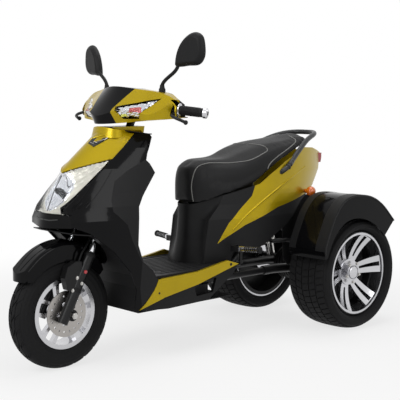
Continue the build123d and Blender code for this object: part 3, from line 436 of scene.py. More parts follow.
def radius_at(line, y):
    """Tread radius of an outline at a distance from the middle."""
    crown = [p for p in line if p[1] > line[0][1] + (line[len(line) // 2][1] - line[0][1]) * 0.55]
    crown.sort()
    for (y0, r0), (y1, r1) in zip(crown, crown[1:]):
        if y0 <= y <= y1:
            return r0 + (r1 - r0) * (y - y0) / max(1e-9, y1 - y0)
    return crown[0][1]


def lug(line, centre, corners, depth, across=4, along=3):
    """A tread block between four (y, degrees) corners, its top on the tyre's outline."""
    (y0, a0), (y1, a1), (y2, a2), (y3, a3) = corners
    points = []
    for drop in (0.0, depth):
        for i in range(across + 1):
            u = i / across
            for j in range(along + 1):
                v = j / along
                y = (y0 * (1 - u) + y1 * u) * (1 - v) + (y3 * (1 - u) + y2 * u) * v
                a = math.radians((a0 * (1 - u) + a1 * u) * (1 - v) + (a3 * (1 - u) + a2 * u) * v)
                r = radius_at(line, y) - drop
                points.append(centre + Vector((r * math.cos(a), y, r * math.sin(a))))
    row, half = along + 1, (across + 1) * (along + 1)
    faces = []
    for i in range(across):
        for j in range(along):
            k = i * row + j
            faces += [[k, k + 1, k + row + 1, k + row], [half + k, half + k + 1, half + k + row + 1, half + k + row]]
    rim = [j for j in range(row)] + [i * row + along for i in range(1, across + 1)]
    rim += [across * row + j for j in range(along - 1, -1, -1)] + [i * row for i in range(across - 1, 0, -1)]
    faces += [[a, b, half + b, half + a] for a, b in zip(rim, rim[1:] + rim[:1])]
    return points, faces


def carcass(line, bead, half, groove, centre):
    """The tyre body below the tread blocks, with raised rings on its side walls."""
    tall = line[len(line) // 2][1] - bead
    outside = []
    for y, r in line:
        tread = min(1.0, max(0.0, (r - (bead + tall * TREAD_STARTS)) / (tall * TREAD_FADES)))
        lift = sum(RING_RISE for ring in WALL_RINGS if abs(r - (bead + tall * ring)) < RING_HALF)
        reach = 1 + lift / half if abs(y) > half * WALL_FROM else 1
        outside.append((y * reach, r - groove * tread))
    bead_half = half * BEAD_SHARE - BEAD_GAP
    return lathe([(bead_half, bead), *outside, (-bead_half, bead)], centre, 128)


def tyre_piece(name, body, centre, half, bead, outer, groove, blocks, nodes):
    """A treaded tyre that stands for a plain tyre of the frame."""
    line = tyre_outline(half, bead, outer)
    parts = [carcass(line, bead, half, groove, centre)]
    parts += [lug(line, centre, corners, groove + LUG_ROOT) for corners in blocks]
    obj = merged(name, parts, "tyre", body)
    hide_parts(nodes)


front_blocks = []
for i in range(FRONT_LUGS):
    a = 360 / FRONT_LUGS * i
    front_blocks.append([(0.0015, a), (0.017, a + 7), (0.017, a + 18.5), (0.0015, a + 12.5)])
    front_blocks.append([(-0.0015, a + 7.5), (-0.017, a + 14.5), (-0.017, a + 26), (-0.0015, a + 20)])
    front_blocks.append([(0.0195, a + 3), (0.0345, a + 8), (0.0345, a + 19), (0.0195, a + 15.5)])
    front_blocks.append([(-0.0195, a + 10.5), (-0.0345, a + 15.5), (-0.0345, a + 26.5), (-0.0195, a + 23)])
tyre_piece("front_tyre_tread", "front_wheel", FRONT, FRONT_HALF, FRONT_BEAD, FRONT_OUTER, FRONT_GROOVE, front_blocks,
           "front_tyre")

WHEEL_BOLTS = 5
LUG_CIRCLE = 0.043
DISC_CIRCLE, DISC_FACE_Y = 0.026, 0.0459
REAR_FACE_Y = 0.062
rear_blocks = []
for i in range(REAR_LUGS):
    a = 360 / REAR_LUGS * i
    rear_blocks.append([(-0.017, a), (0.017, a + 1.5), (0.017, a + 7.6), (-0.017, a + 6.1)])
    for s in (1, -1):
        rear_blocks.append([(s * 0.022, a + 2), (s * 0.052, a + 4), (s * 0.052, a + 10), (s * 0.022, a + 8)])
        rear_blocks.append([(s * 0.057, a + 1), (s * 0.092, a + 3.2), (s * 0.092, a + 8.8), (s * 0.057, a + 6.8)])
for side, s in SIDES:
    centre = Vector((REAR.x, s * REAR.y, REAR.z))
    body = "rear_wheel_" + side
    tyre_piece("rear_tread_" + side, body, centre, REAR_HALF, REAR_BEAD, REAR_OUTER, REAR_GROOVE, rear_blocks,
               "rear_tyre_" + side)
    inner = [(s * 0.030, 0.169), (s * 0.030, 0.1655), (s * -0.004, 0.160), (s * -0.016, 0.120), (s * -0.016, 0.056),
             (s * -0.020, 0.056), (s * -0.022, 0.124), (s * -0.012, 0.165), (s * -0.088, 0.1665), (s * -0.088, 0.169)]
    merged("rear_dish_" + side, [lathe(inner, centre)], "black_metal", body)
    bead = [(s * 0.0945, 0.1795), (s * 0.0965, 0.1835), (s * 0.0945, 0.1875), (s * 0.092, 0.1875), (s * 0.092, 0.1795)]
    merged("rear_bead_ring_" + side, [lathe(bead, centre)], "gloss_black", body)
    # painted shade: a black ring over the inner face of each rear rim, darkening the far wheel's inner side where it
    # stands in shadow
    back = [(s * -0.0938, 0.1640), (s * -0.0938, 0.1796), (s * -0.0968, 0.1796), (s * -0.0968, 0.1640)]
    merged("rear_rim_shade_ring_" + side, [lathe(back, centre)], "black_metal", body)
    face = centre + Vector((0, s * REAR_FACE_Y, 0))
    out = Vector((0, s, 0))
    cap = [spin(face, out, [(-0.0005, 0.030), (0.004, 0.030), (0.008, 0.027), (0.010, 0.020), (0.0115, 0.0)], 48)]
    ring = [(s * 0.0615, 0.036), (s * 0.0650, 0.037), (s * 0.0650, 0.0335), (s * 0.0615, 0.0335)]
    cap.append(lathe(ring, centre))
    merged("rear_cap_" + side, cap, "silver_alloy", body)
    nuts = []
    for k in range(WHEEL_BOLTS):
        a = math.radians(90) + math.tau * (k + 0.5) / WHEEL_BOLTS
        nuts += bolt(face + Vector((LUG_CIRCLE * math.cos(a), 0, LUG_CIRCLE * math.sin(a))), out, 0.0058, 0.008)
    merged("rear_lug_nuts_" + side, nuts, "steel", body)

hub = []
for k in range(WHEEL_BOLTS):
    a = math.radians(90) + math.tau * k / WHEEL_BOLTS
    place = FRONT + Vector((DISC_CIRCLE * math.cos(a), DISC_FACE_Y, DISC_CIRCLE * math.sin(a)))
    hub += bolt(place, (0, 1, 0), 0.0042, 0.005)
merged("disc_bolts", hub, "steel", "front_wheel")
collar = [(0.0418, 0.016), (0.047, 0.017), (0.047, 0.0205), (0.0418, 0.0215)]
collars = [lathe([(s * y, r) for y, r in collar], FRONT) for s in (1, -1)]
merged("front_hub_collars", collars, "silver_alloy", "front_wheel")

# ---------------------------------------------------------------- fork, brake and front fender
LEAN = math.radians(28)
AXIS = Vector((-math.sin(LEAN), 0, math.cos(LEAN)))
# where the line of the fork legs meets the floor, from its place at the height of the axle
FORK_FOOT = 0.705 + FRONT.z * math.tan(LEAN)
FORK_LEG_Y, LEG_FACE_Y = 0.072, 0.0915


def on_fork(z, y, ahead=0.0):
    """A point of a fork leg at height z."""
    return Vector((FORK_FOOT - z * math.tan(LEAN) + ahead, y, z))


boots = []
for s in (1, -1):
    top = on_fork(0.432, s * FORK_LEG_Y)
    boots.append(spin(top, AXIS, [(-0.010, 0.0205), (-0.004, 0.0222), (0.002, 0.0222), (0.005, 0.0185), (0.009, 0.0185),
                                  (0.010, 0.0155)], 32))
    boots.append(spin(on_fork(0.300, s * FORK_LEG_Y), AXIS, [(-0.003, 0.0204), (-0.002, 0.0215), (0.010, 0.0215),
                                                             (0.011, 0.0204)], 32))
merged("fork_dust_seals", boots, "grip_rubber", "steering")

bolts = []
for x, z in ((0.655, 0.351), (0.676, 0.306)):
    bolts += bolt((x, 0.0817, z), (0, 1, 0), 0.0055, 0.005)
for s in (1, -1):
    bolts += bolt(on_fork(0.330, s * LEG_FACE_Y), (0, s, 0), 0.005, 0.005)
merged("caliper_bolts", bolts, "steel", "steering")
hose = smooth_path([(0.640, 0.070, 0.408), (0.630, 0.073, 0.436), (0.610, 0.072, 0.462), (0.588, 0.064, 0.484),
                    (0.572, 0.052, 0.496)], 6)
fittings = [spin((0.640, 0.070, 0.400), (0, 0, 1), [(0, 0.006), (0.012, 0.006), (0.013, 0.0045)], 6)]
merged("brake_hose", [rod(hose, 0.0038, 10)] + fittings, "grip_rubber", "steering")
marks = []
for s in (1, -1):
    disc = spin(on_fork(0.372, s * 0.0912, 0.004), (0, s, 0), [(0, 0.007), (0.002, 0.007), (0.0035, 0.0055)], 32)
    marks.append(disc)
merged("fork_reflectors", marks, RED_MARK, "steering")

fender_tree = tree(NODES["front_fender"])


def drop(surface, x, y, start):
    """The point of a surface straight below a height."""
    return surface.ray_cast(Vector((x, y, start)), Vector((0, 0, -1)))[0]


ridge = []
for s in (1, -1):
    line = [drop(fender_tree, 0.860 - 0.0115 * i, s * (0.012 + 0.0012 * i), 0.7) for i in range(20)]
    line = [p for p in line if p is not None]
    ridge.append(rod(line, 0.0016, 8))
merged("front_fender_ridges", ridge, "gloss_black", "steering")

# ---------------------------------------------------------------- bar ends, grips, gauge, mirrors
for side, s in SIDES:
    start, end = Vector((0.326, s * 0.256, 0.976)), Vector((0.262, s * 0.366, 0.962))
    run = (end - start).normalized()
    span = (end - start).length
    ribs = []
    for k in range(13):
        place = start + run * (span * 0.24 + 0.0055 * k)
        ribs.append(spin(place, run, [(0, 0.0168), (0.0008, 0.0182), (0.0026, 0.0182), (0.0034, 0.0168)], 32))
    merged("grip_ribs_" + side, ribs, "grip_rubber", "steering")
    tip = start + run * span * 0.90
    bright = [spin(start + run * span * 0.135, run, [(0, 0.0235), (0.001, 0.0252), (0.0045, 0.0252), (0.0065, 0.0225)],
                   40),
              spin(tip - run * 0.001, run, [(0, 0.0180), (0.001, 0.0198), (0.0125, 0.0198), (0.0135, 0.0185)], 40),
              spin(tip + run * 0.0115, run, [(0, 0.0150), (0.0035, 0.0140), (0.0042, 0.0120)], 40)]
    merged("bar_trim_" + side, bright, "silver_alloy", "steering")
    merged("bar_end_hex_" + side, [spin(tip + run * 0.0150, run, [(0, 0.0085), (0.0020, 0.0082)], 6)],
           "black_metal", "steering")

# a mirror's outline across and up from its middle, in mm
RIM = [(-66, -54), (-60, -18), (-40, 24), (-10, 53), (25, 65), (54, 53), (66, 16), (64, -28), (44, -53), (0, -58),
       (-46, -62)]
toe = math.radians(13)
for side, s, height in (("left", 1, 1.197), ("right", -1, 1.167)):
    facing = Vector((math.cos(toe), s * math.sin(toe), 0))
    across = Vector((-facing.y, facing.x, 0))
    middle = Vector((0.289, s * 0.296, height)) - facing * 0.0146
    loop = smooth_path([(s * a * 0.9, b * 0.9, 0) for a, b in RIM + RIM[:1]], 5)[:-1]
    glass = [middle + across * p.x * 0.001 + Vector((0, 0, p.y * 0.001)) for p in loop]
    merged("mirror_glass_" + side, [slab(glass, facing * 0.0012)], MIRROR_GLASS, "steering")
    knuckle = Vector((0.315, s * 0.172, 1.046))
    merged("mirror_base_" + side, [spin(knuckle, (0, 0, 1), [(-0.008, 0.013), (0.004, 0.013), (0.012, 0.0095),
                                                             (0.022, 0.0085)], 28)],
           "matte_black", "steering")

back_tree = tree(NODES["headset_back"])
RIDER = Vector((-0.25, 0.0, 1.50))
hood = back_tree.ray_cast(RIDER, (Vector((0.262, 0, 1.025)) - RIDER).normalized())[0]
if hood is not None:
    up = (RIDER - hood).normalized()
    side_way = Vector((0, 1, 0))
    down_way = up.cross(side_way)
    turns = [math.tau * k / 48 for k in range(48)]
    oval = [hood + up * 0.003 + side_way * 0.072 * math.cos(a) + down_way * 0.030 * math.sin(a) for a in turns]
    bezel = [hood + up * 0.002 + side_way * 0.078 * math.cos(a) + down_way * 0.036 * math.sin(a) for a in turns]
    merged("gauge_bezel", [slab(bezel, -up * 0.016)], "gloss_black", "steering")
    merged("gauge_glass", [slab(oval, -up * 0.010)], GAUGE, "steering")
    marks = []
    for k in range(11):
        a = math.radians(200 - 22 * k)
        place = hood + up * 0.0034 + side_way * (-0.035 + 0.021 * math.cos(a)) - down_way * 0.021 * math.sin(a)
        marks.append(spin(place, up, [(-0.001, 0.0011), (0.0004, 0.0011)], 8))
    for k in range(6):
        place = hood + up * 0.0034 + side_way * (0.018 + 0.008 * k)
        marks.append(spin(place, up, [(-0.001, 0.0024), (0.0004, 0.0024)], 12))
    merged("gauge_marks", marks, PIPING, "steering")


# ---------------------------------------------------------------- lamps
def patch(surface, pixels, lift, grid):
    """A grid of points over a four-sided patch of the photograph, cast on a surface and moved along its normal."""
    a, b, c, d = [Vector((x, y, 0)) for x, y in pixels]
    rows = []
    for i in range(grid + 1):
        u = i / grid
        row = []
        for j in range(grid + 1):
            v = j / grid
            p = (a * (1 - u) + b * u) * (1 - v) + (d * (1 - u) + c * u) * v
            place, normal, _, _ = surface.ray_cast(EYE, sight(p.x, p.y))
            if place is None:
                row.append(None)
                continue
            normal = normal if normal.dot(EYE - place) > 0 else -normal
            row.append(place + normal * lift)
        rows.append(row)
    return rows


def tiles(rows, thick, ripple):
    """Small closed facets, one for each cell of a grid, with alternating tilt."""
    parts = []
    for i in range(len(rows) - 1):
        for j in range(len(rows[0]) - 1):
            corners = [rows[i][j], rows[i + 1][j], rows[i + 1][j + 1], rows[i][j + 1]]
            if any(c is None for c in corners):
                continue
            out = (corners[1] - corners[0]).cross(corners[3] - corners[0])
            if out.length < 1e-9:
                continue
            out.normalize()
            if out.dot(EYE - corners[0]) < 0:
                out = -out
            middle = sum(corners, Vector()) / 4
            corners = [middle + (c - middle) * 0.97 for c in corners]
            peak = middle + out * ripple * (1 if (i + j) % 2 else 0.4)
            low = [c - out * thick for c in corners]
            faces = [[0, 1, 8], [1, 2, 8], [2, 3, 8], [3, 0, 8], [4, 5, 6, 7], [0, 1, 5, 4], [1, 2, 6, 5], [2, 3, 7, 6],
                     [3, 0, 4, 7]]
            parts.append((corners + low + [peak], faces))
    return parts


signal_tree = tree(NODES["front_signals"])
plates = tiles(patch(signal_tree, [(106, 113), (131, 101), (153, 101), (145, 122)], -0.0058, 9), 0.0005, 0.0008)
plates += tiles(patch(signal_tree, [(150, 103), (164, 92), (160, 104), (151, 106)], -0.0058, 4), 0.0005, 0.0006)
plates += tiles(patch(signal_tree, [(118, 113), (124, 109), (128, 119), (122, 120)], -0.0045, 3), 0.0005, 0.0006)
merged("signal_reflectors", both_sides(plates), "chrome", "steering", smooth=False)
rose = material("signal_rose", (0.50, 0.10, 0.09), 0.25, metal=0.3, coat=0.6, bump=0.4, grain=300)
plates = tiles(patch(signal_tree, [(129, 107.5), (141, 106.5), (141, 112), (128, 113)], -0.0040, 5), 0.0004, 0.0012)
merged("signal_mosaic", both_sides(plates), rose, "steering", smooth=False)
lime = material("signal_lime", (0.70, 0.72, 0.12), 0.3, coat=0.6, bump=0.2, grain=300)
plates = tiles(patch(signal_tree, [(120, 115), (126, 114), (128, 119), (123, 119.6)], -0.0030, 2), 0.0004, 0.0006)
merged("signal_lime_tabs", both_sides(plates), lime, "steering", smooth=False)

# main lamp: a pressed bowl behind the lens, with a cream surround at its sides
lens_tree = tree(NODES["headlight_lens"])
ACROSS, UPWARD, STEP, LENS_FOOT = 56, 48, 0.0042, 0.594
NEXT_CELLS = ((1, 0), (-1, 0), (0, 1), (0, -1))


def lens_grid():
    """Points on the outside of the lens seen from ahead, keyed by grid place, with their distance from its border."""
    seen = {}
    for i in range(ACROSS + 1):
        for j in range(UPWARD + 1):
            hit, normal = from_ahead(lens_tree, (i - ACROSS / 2) * STEP, LENS_FOOT + j * STEP)
            if hit is not None and normal.x > FACES_AHEAD:
                seen[i, j] = hit
    depth, ring, left = {}, 0, set(seen)
    while left:
        border = {c for c in left if any((c[0] + a, c[1] + b) not in left for a, b in NEXT_CELLS)}
        for c in border or left:
            depth[c] = ring
        left -= border or left
        ring += 1
    return seen, depth


seen, border_steps = lens_grid()
BOWL_MIDDLE, BOWL_RADIUS, BOWL_DEPTH, SHEET = (0.0, 0.672), 0.056, 0.026, 0.0018


def from_bowl(y, z):
    """Distance from the middle of the lamp's bowl, which is a little taller than it is wide."""
    return math.hypot(y - BOWL_MIDDLE[0], (z - BOWL_MIDDLE[1]) * 0.9)


def reflector_point(c, extra):
    """A point behind the lens: deep in the bowl, stepped around it, and close to the lens at its border."""
    hit = seen[c]
    rise = min(1.0, border_steps[c] / 3)
    off = from_bowl(hit.y, hit.z) / BOWL_RADIUS
    dish = max(0.0, 1 - off * off) * BOWL_DEPTH
    step = 0.0022 * (1 if (c[0] // 3 + c[1] // 4) % 2 else 0) if off > 1 else 0.0
    return hit - Vector((0.0052 + 0.006 * rise + dish * rise + step * rise + extra, 0, 0))


def reflector(keep):
    """The closed sheet over the grid cells that pass a test."""
    cells = [c for c in seen if all((c[0] + a, c[1] + b) in seen for a, b in ((1, 0), (0, 1), (1, 1)))
             and keep((c[0] + 0.5 - ACROSS / 2) * STEP, LENS_FOOT + (c[1] + 0.5) * STEP)]
    use = sorted({(c[0] + a, c[1] + b) for c in cells for a in (0, 1) for b in (0, 1)})
    index = {c: k for k, c in enumerate(use)}
    count = len(use)
    points = [reflector_point(c, 0.0) for c in use] + [reflector_point(c, SHEET) for c in use]
    faces, edges = [], {}
    for i, j in cells:
        quad = [index[i, j], index[i + 1, j], index[i + 1, j + 1], index[i, j + 1]]
        faces += [quad, [count + k for k in reversed(quad)]]
        for a, b in zip(quad, quad[1:] + quad[:1]):
            edges[frozenset((a, b))] = None if frozenset((a, b)) in edges else (a, b)
    faces += [[e[1], e[0], count + e[0], count + e[1]] for e in edges.values() if e]
    return points, faces


def in_bowl(y, z):
    """Whether a place seen from ahead belongs to the chromed bowl."""
    return from_bowl(y, z) < BOWL_RADIUS * 1.12


bowl = merged("headlight_reflector", [reflector(in_bowl)], "chrome", "chassis")
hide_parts("headlight_bowl")
merged("headlight_surround", [reflector(lambda y, z: not in_bowl(y, z))], CREAM, "chassis")

shade_at = from_ahead(lens_tree, *BOWL_MIDDLE)[0] - Vector((0.037, 0, 0))
shade = spin(shade_at, (1, 0, 0), [(0, 0.012), (0.012, 0.013), (0.019, 0.011), (0.021, 0.004)], 28)
merged("headlight_bulb_shade", [shade], "satin_grey", "chassis")
ring_line = []
for k in range(56):
    a = math.tau * k / 56
    y, z = BOWL_RADIUS * 1.02 * math.cos(a), BOWL_MIDDLE[1] + BOWL_RADIUS * 1.12 * math.sin(a)
    hit = from_ahead(lens_tree, y, z)[0]
    if hit is not None:
        ring_line.append(hit - Vector((0.0095, 0, 0)))
merged("headlight_ring", [rod(ring_line, 0.0017, 8)], "chrome", "chassis")
BEHIND_LENS = Vector((0.0068, 0, 0))
flutes = []
for s in (1, -1):
    for k in range(6):
        high, low = [from_ahead(lens_tree, s * (0.014 + 0.0062 * k), z)[0] for z in (0.712, 0.636)]
        if high and low:
            flutes.append(rod([high - BEHIND_LENS, low - BEHIND_LENS], 0.0009, 6))
merged("headlight_flutes", flutes, LAMP_GLASS, "chassis")
middle_line = []
for k in range(13):
    hit = from_ahead(lens_tree, 0.0, 0.728 - 0.0105 * k)[0]
    if hit:
        middle_line.append(hit - BEHIND_LENS)
merged("headlight_rib", [rod(middle_line, 0.0016, 8)], "satin_grey", "chassis")

# ---------------------------------------------------------------- front body trim
panel_tree = tree(NODES["front_panel"])
# the panel's lower border is a V: this is the height of its point and its rise for each metre across
EDGE_POINT_Z, EDGE_RISE = 0.7408, 0.4615
edge = []
for k in range(-14, 15):
    y = 0.0100 * k
    hit, normal = from_ahead(panel_tree, y, EDGE_POINT_Z + abs(y) * EDGE_RISE)
    if hit is not None and normal.x > FACES_AHEAD:
        edge.append(hit + Vector((0.0004, 0, 0)))
merged("front_panel_edge", [rod(edge, 0.0024, 8)], "yellow", "chassis")


def plate_on(surface, pixels, lift, thick):
    """A thin plate through picture points, laid on a surface."""
    top = on_photo(surface, pixels, lift)
    if len(top) < 3:
        return None
    out = (top[1] - top[0]).cross(top[2] - top[0]).normalized()
    out = out if out.dot(EYE - top[0]) > 0 else -out
    return slab(top, -out * thick)


vent = plate_on(panel_tree, [(88.5, 143.5), (93.5, 147), (109.5, 138.0), (93, 138.5)], 0.0030, 0.006)
vent_bars = []
for k in range(5):
    x = 90.5 + 3.4 * k
    bar = on_photo(panel_tree, [(x, 143.0 - 0.6 * k), (x + 3.6, 144.6 - 1.6 * k)], 0.0036)
    if len(bar) == 2:
        vent_bars.append(rod(bar, 0.0011, 6))
if vent:
    merged("nose_vent", [vent], MESH_BLACK, "chassis")
    merged("nose_vent_bars", vent_bars, "steel", "chassis")
brow = on_photo(panel_tree, [(91, 139.5), (97, 137.0), (104, 135.2), (111, 135.2)], 0.0008)
merged("nose_vent_brow", [rod(brow, 0.0028, 8)], "yellow", "chassis")

apron_tree = tree(NODES["side_aprons"])
fins = []
for k in range(3):
    fin = [(66 + 6 * k, 213.5 - 2.2 * k), (72 + 6 * k, 208.5 - 1.6 * k), (76 + 6 * k, 204 - 1.0 * k)]
    fin = on_photo(apron_tree, fin, 0.0002)
    if len(fin) == 3:
        fins.append(rod(fin, 0.0018, 6))
crest = on_photo(apron_tree, [(104.5, 162.0), (98, 173), (90, 186), (82, 198), (74, 208), (66, 216)])
if len(crest) > 2:
    fins.append(rod(smooth_path(crest, 5), 0.0022, 8))
crease = on_photo(apron_tree, [(112, 170), (104, 184), (96, 196), (86, 208)])
if len(crease) > 2:
    fins.append(rod(smooth_path(crease, 5), 0.0018, 8))
if fins:
    merged("apron_creases", both_sides(fins), "gloss_black", "chassis")
chin_tree = tree(NODES["chin_cover"])
slot_line = on_photo(chin_tree, [(43, 219.5), (50, 220.5), (58, 220.0)], 0.0004)
if len(slot_line) == 3:
    merged("chin_slot", both_sides([rod(slot_line, 0.0026, 8)]), MESH_BLACK, "chassis")

screws = []
for x, z in ((0.358, 0.271), (-0.030, 0.338)):
    screws += [spin((x, 0.2019, z), (0, 1, 0), [(0, 0.0060), (0.0012, 0.0060), (0.0026, 0.0042)], 24),
               spin((x, 0.2044, z), (0, 1, 0), [(0, 0.0024), (0.0004, 0.0024)], 6)]
merged("stripe_screws", both_sides(screws), "black_metal", "chassis")
tip = [(0.3600, 0.3260), (0.3720, 0.3020), (0.3860, 0.2820), (0.4060, 0.2600), (0.4260, 0.2400), (0.4560, 0.2180),
       (0.4320, 0.2240), (0.4040, 0.2310), (0.3370, 0.2480)]
tips = both_sides([slab([(x, 0.2042, z) for x, z in tip], (0, -0.0060, 0))])
merged("stripe_tips", tips, "yellow", "chassis", smooth=False)

# a skirt around the neck below the turning headset, open behind the stem
half_top = [(0.340, 0.076, 0.893), (0.380, 0.078, 0.894), (0.420, 0.076, 0.896), (0.455, 0.068, 0.899),
            (0.474, 0.052, 0.903), (0.483, 0.028, 0.907)]
half_foot = [(0.340, 0.090, 0.878), (0.380, 0.094, 0.876), (0.420, 0.092, 0.872), (0.462, 0.078, 0.866),
             (0.482, 0.055, 0.867), (0.492, 0.028, 0.873)]
top_line = smooth_path(half_top + [(0.486, 0.0, 0.909)] + [(x, -y, z) for x, y, z in reversed(half_top)], 5)
foot_line = smooth_path(half_foot + [(0.495, 0.0, 0.880)] + [(x, -y, z) for x, y, z in reversed(half_foot)], 5)
SKIRT_MIDDLE_X, SKIRT_WALL = 0.400, 0.004
wall_points = []
for high, low in zip(top_line, foot_line):
    inward = Vector((SKIRT_MIDDLE_X - high.x, -high.y, 0)).normalized() * SKIRT_WALL
    wall_points += [low, high, high + inward, low + inward]
wall_faces = [[0, 1, 2, 3], [len(wall_points) - 4 + k for k in (3, 2, 1, 0)]]
for k in range(0, len(wall_points) - 4, 4):
    wall_faces += [[k + a, k + (a + 1) % 4, k + 4 + (a + 1) % 4, k + 4 + a] for a in range(4)]
merged("neck_skirt", [(wall_points, wall_faces)], "yellow", "chassis")

guard = [(-0.392, 0.492), (-0.515, 0.590), (-0.575, 0.585), (-0.566, 0.320), (-0.520, 0.284), (-0.430, 0.284),
         (-0.402, 0.310), (-0.398, 0.370)]
guards = both_sides([slab([(x, 0.152, z) for x, z in guard], (0, -0.0040, 0))])
merged("rear_inner_guards", guards, "matte_black", "chassis", smooth=False)

# ---------------------------------------------------------------- foot board mat
FLOOR_Z, RIB_HALF, RIB_END_X = 0.3350, 0.0045, -0.050
mat = []
for k in range(11):
    y = -0.125 + 0.025 * k
    front_x = 0.335 - 0.44 * abs(y)
    corners = [(front_x, y - RIB_HALF), (front_x, y + RIB_HALF), (RIB_END_X, y + RIB_HALF), (RIB_END_X, y - RIB_HALF)]
    mat.append(slab([(*corner, FLOOR_Z) for corner in corners], (0, 0, 0.0016)))
border = [(0.350, -0.10), (0.350, 0.10), (0.300, 0.155), (-0.060, 0.155), (-0.068, 0.140), (-0.068, -0.140),
          (-0.060, -0.155), (0.300, -0.155)]
mat.append(rod([(*corner, FLOOR_Z + 0.0002) for corner in border], 0.0024, 8, closed=True))
merged("foot_mat_ribs", mat, "grip_rubber", "chassis")

# ---------------------------------------------------------------- rear body, lamps, fenders, running gear
rear_tree = tree(NODES["rear_panels"])
fold = on_photo(rear_tree, [(233, 230), (240, 222), (250, 212), (264, 200), (278, 188.5), (292, 177), (305, 166.5)],
                -0.0016)
if len(fold) > 3:
    path = smooth_path(fold, 5)
    merged("rear_panel_crease", both_sides([rod(path, 0.0048, 14)]), "yellow", "chassis")

tail_tree = tree(NODES["tail_lamp"])
ribs = []
for z in [0.722 + 0.0085 * k for k in range(5)]:
    line = []
    for i in range(13):
        hit = tail_tree.ray_cast(Vector((-AHEAD_OF_ALL, -0.054 + 0.009 * i, z)), Vector((1, 0, 0)))[0]
        if hit:
            line.append(hit + Vector((0.0003, 0, 0)))
    if len(line) > 3:
        ribs.append(rod(line, 0.0011, 8))
if ribs:
    merged("tail_lamp_ribs", ribs, "red_lens", "chassis")

COIL_TURNS, COIL_STEPS, COIL_RADIUS, COIL_START, COIL_LENGTH = 11, 12, 0.0275, 0.085, 0.190
shock_parts = []
for s in (1, -1):
    low, high = Vector((-0.644, s * 0.150, 0.270)), Vector((-0.530, s * 0.118, 0.600))
    run = (high - low).normalized()
    u = run.orthogonal().normalized()
    w = run.cross(u)
    coil = []
    for t in range(COIL_TURNS * COIL_STEPS + 1):
        a = math.tau * t / COIL_STEPS
        along = COIL_START + COIL_LENGTH * t / (COIL_TURNS * COIL_STEPS)
        coil.append(low + run * along + COIL_RADIUS * (math.cos(a) * u + math.sin(a) * w))
    shock_parts.append(rod(coil, 0.0042, 8))
    for at in (0.078, 0.282):
        shock_parts.append(spin(low + run * at, run, [(-0.004, 0.0205), (-0.004, 0.0325), (0.002, 0.0325),
                                                      (0.002, 0.0205)], 32))
merged("shock_springs", shock_parts, "steel", "chassis")

DRUM_BOLTS, DRUM_CIRCLE, DRUM_FACE_Y = 8, 0.062, 0.0600
drum = []
for s in (1, -1):
    for k in range(DRUM_BOLTS):
        a = math.tau * k / DRUM_BOLTS + 0.3
        place = (REAR.x + DRUM_CIRCLE * math.cos(a), s * DRUM_FACE_Y, REAR.z + DRUM_CIRCLE * math.sin(a))
        drum += bolt(place, (0, s, 0), 0.0052, 0.005)
merged("axle_drum_bolts", drum, "steel", "chassis")
drum_ribs = [lathe([(y - 0.003, 0.0700), (y - 0.003, 0.0755), (y + 0.003, 0.0755), (y + 0.003, 0.0700)],
                   (REAR.x, 0, REAR.z), 64) for y in [0.016 * k for k in range(-3, 4)]]
merged("axle_drum_ribs", drum_ribs, "black_metal", "chassis")

for side, s in SIDES:
    base, tip = Vector((-0.066, s * 0.212, 0.400)), Vector((-0.078, s * 0.321, 0.406))
    run = (tip - base).normalized()
    rings = [spin(base + run * (0.034 + 0.0105 * k), run, [(0, 0.0108), (0.0010, 0.0128), (0.0050, 0.0128),
                                                           (0.0060, 0.0108)], 28) for k in range(7)]
    rings.append(spin(tip + run * -0.0045, run, [(0, 0.0108), (0.001, 0.0140), (0.005, 0.0140), (0.007, 0.0120)], 28))
    merged("peg_rings_" + side, rings, "grip_rubber", "peg_" + side)

# the top of a rear fender in the side view, in mm, from front to back
CROWN = [(-362, 345), (-360, 392), (-391, 465), (-428, 533), (-485, 585), (-560, 602), (-660, 590), (-745, 548),
         (-828, 474)]
crown_path = smooth_path([(x, 0, z) for x, z in CROWN], 8)
HUB_X, HUB_Z = -644, 249


def off_crown(p, rise):
    """(x, z) in metres of a point of the crown, moved out from the hub by some mm."""
    reach = math.hypot(p.x - HUB_X, p.z - HUB_Z)
    f = (reach + rise) / reach
    return (HUB_X + (p.x - HUB_X) * f) / 1000, (HUB_Z + (p.z - HUB_Z) * f) / 1000


bands, welts = [], []
for s in (1, -1):
    for y0, y1, rise in ((0.372, 0.4255, 2.2), (0.2255, 0.262, 1.4)):
        loop = [off_crown(p, rise) for p in crown_path[6:]] + [off_crown(p, -1.0) for p in reversed(crown_path[6:])]
        bands.append(slab([(x, s * y0, z) for x, z in loop], (0, s * (y1 - y0), 0)))
    line = [off_crown(p, -3.0) for p in crown_path[4:]]
    welts.append(rod([(x, s * 0.4250, z) for x, z in line], 0.0034, 8))
merged("rear_fender_bands", bands, "matte_black", "chassis")
merged("rear_fender_welts", welts, "matte_black", "chassis")


# ---------------------------------------------------------------- padded seat
PAD_GRID, PAD_DRAW_IN, PAD_SWELL, PAD_FRAMES = 0.0075, 0.0035, 0.007, 20


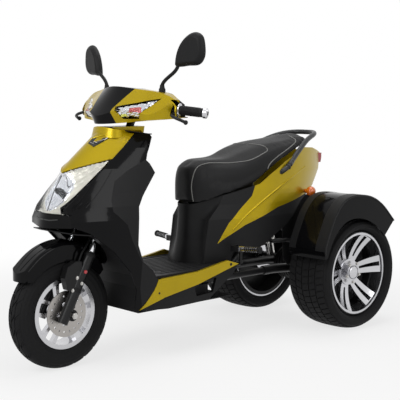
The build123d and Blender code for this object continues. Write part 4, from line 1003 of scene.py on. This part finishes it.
def padded_seat():
    """The seat's solid, drawn in a little, then swollen by pressure under its cover."""
    source = NODES["seat_cushion"]
    data = source.data.copy()
    data.name = "seat_pad"
    pad = bpy.data.objects.new("seat_pad", data)
    bpy.context.collection.objects.link(pad)
    bpy.ops.object.select_all(action="DESELECT")
    pad.select_set(True)
    bpy.context.view_layer.objects.active = pad
    grid = pad.modifiers.new("grid", "REMESH")
    grid.mode = "VOXEL"
    grid.voxel_size = PAD_GRID
    bpy.ops.object.modifier_apply(modifier="grid")
    for v in pad.data.vertices:
        v.co -= v.normal * PAD_DRAW_IN
    pad.data.update()
    rest = [v.co.copy() for v in pad.data.vertices]
    hold = pad.vertex_groups.new(name="hold")
    low = [v.index for v in pad.data.vertices if v.normal.z < -0.55]
    hold.add(low, 1.0, "REPLACE")
    cloth = pad.modifiers.new("swell", "CLOTH")
    cloth.settings.quality = 5
    cloth.settings.mass = 0.3
    cloth.settings.tension_stiffness = 18
    cloth.settings.compression_stiffness = 18
    cloth.settings.shear_stiffness = 8
    cloth.settings.bending_stiffness = 0.6
    cloth.settings.use_pressure = True
    cloth.settings.uniform_pressure_force = 4.0
    cloth.settings.effector_weights.gravity = 0.0
    cloth.settings.vertex_group_mass = "hold"
    cloth.collision_settings.use_collision = False
    cloth.point_cache.frame_end = PAD_FRAMES
    for f in range(1, PAD_FRAMES + 1):
        scene.frame_set(f)
    graph = bpy.context.evaluated_depsgraph_get()
    swollen = pad.evaluated_get(graph).to_mesh()
    moved = [v.co.copy() for v in swollen.vertices]
    pad.evaluated_get(graph).to_mesh_clear()
    pad.modifiers.remove(cloth)
    for v, start, end in zip(pad.data.vertices, rest, moved):
        step = end - start
        v.co = start + step * min(1.0, PAD_SWELL / max(step.length, 1e-9))
    scene.frame_set(1)
    ease = pad.modifiers.new("ease", "SMOOTH")
    ease.factor = 0.5
    ease.iterations = 3
    bpy.ops.object.modifier_apply(modifier="ease")
    finer = pad.modifiers.new("finer", "SUBSURF")
    finer.levels = 1
    bpy.ops.object.modifier_apply(modifier="finer")
    pad.data.materials.clear()
    pad.data.materials.append(FINISH["seat_vinyl"])
    pad.data.shade_smooth()
    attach(pad, "seat")
    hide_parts("seat_cushion")
    return pad


seat_tree = tree(padded_seat())
SEAMS = {
    "front": [(193.6, 203.5), (191.5, 189.4), (192.5, 178.6), (196.9, 167.7), (206.6, 163.4), (219, 162.9),
              (231.6, 162.8), (250, 160), (263, 153.6), (267.4, 149.8), (262, 145.5), (249, 143.9)],
    "rear": [(266.8, 172.6), (269.5, 164.5), (277.1, 156.9), (290.1, 147.1), (295.6, 140.6), (288, 135.2)],
}
for name, pixels in SEAMS.items():
    dense = [(p.x, p.y) for p in smooth_path([(x, y, 0) for x, y in pixels], 7)]
    line = on_photo(seat_tree, dense, 0.0004)
    if len(line) > 4:
        merged("seat_piping_" + name, both_sides([rod(line, 0.0020, 8)]), PIPING, "seat")
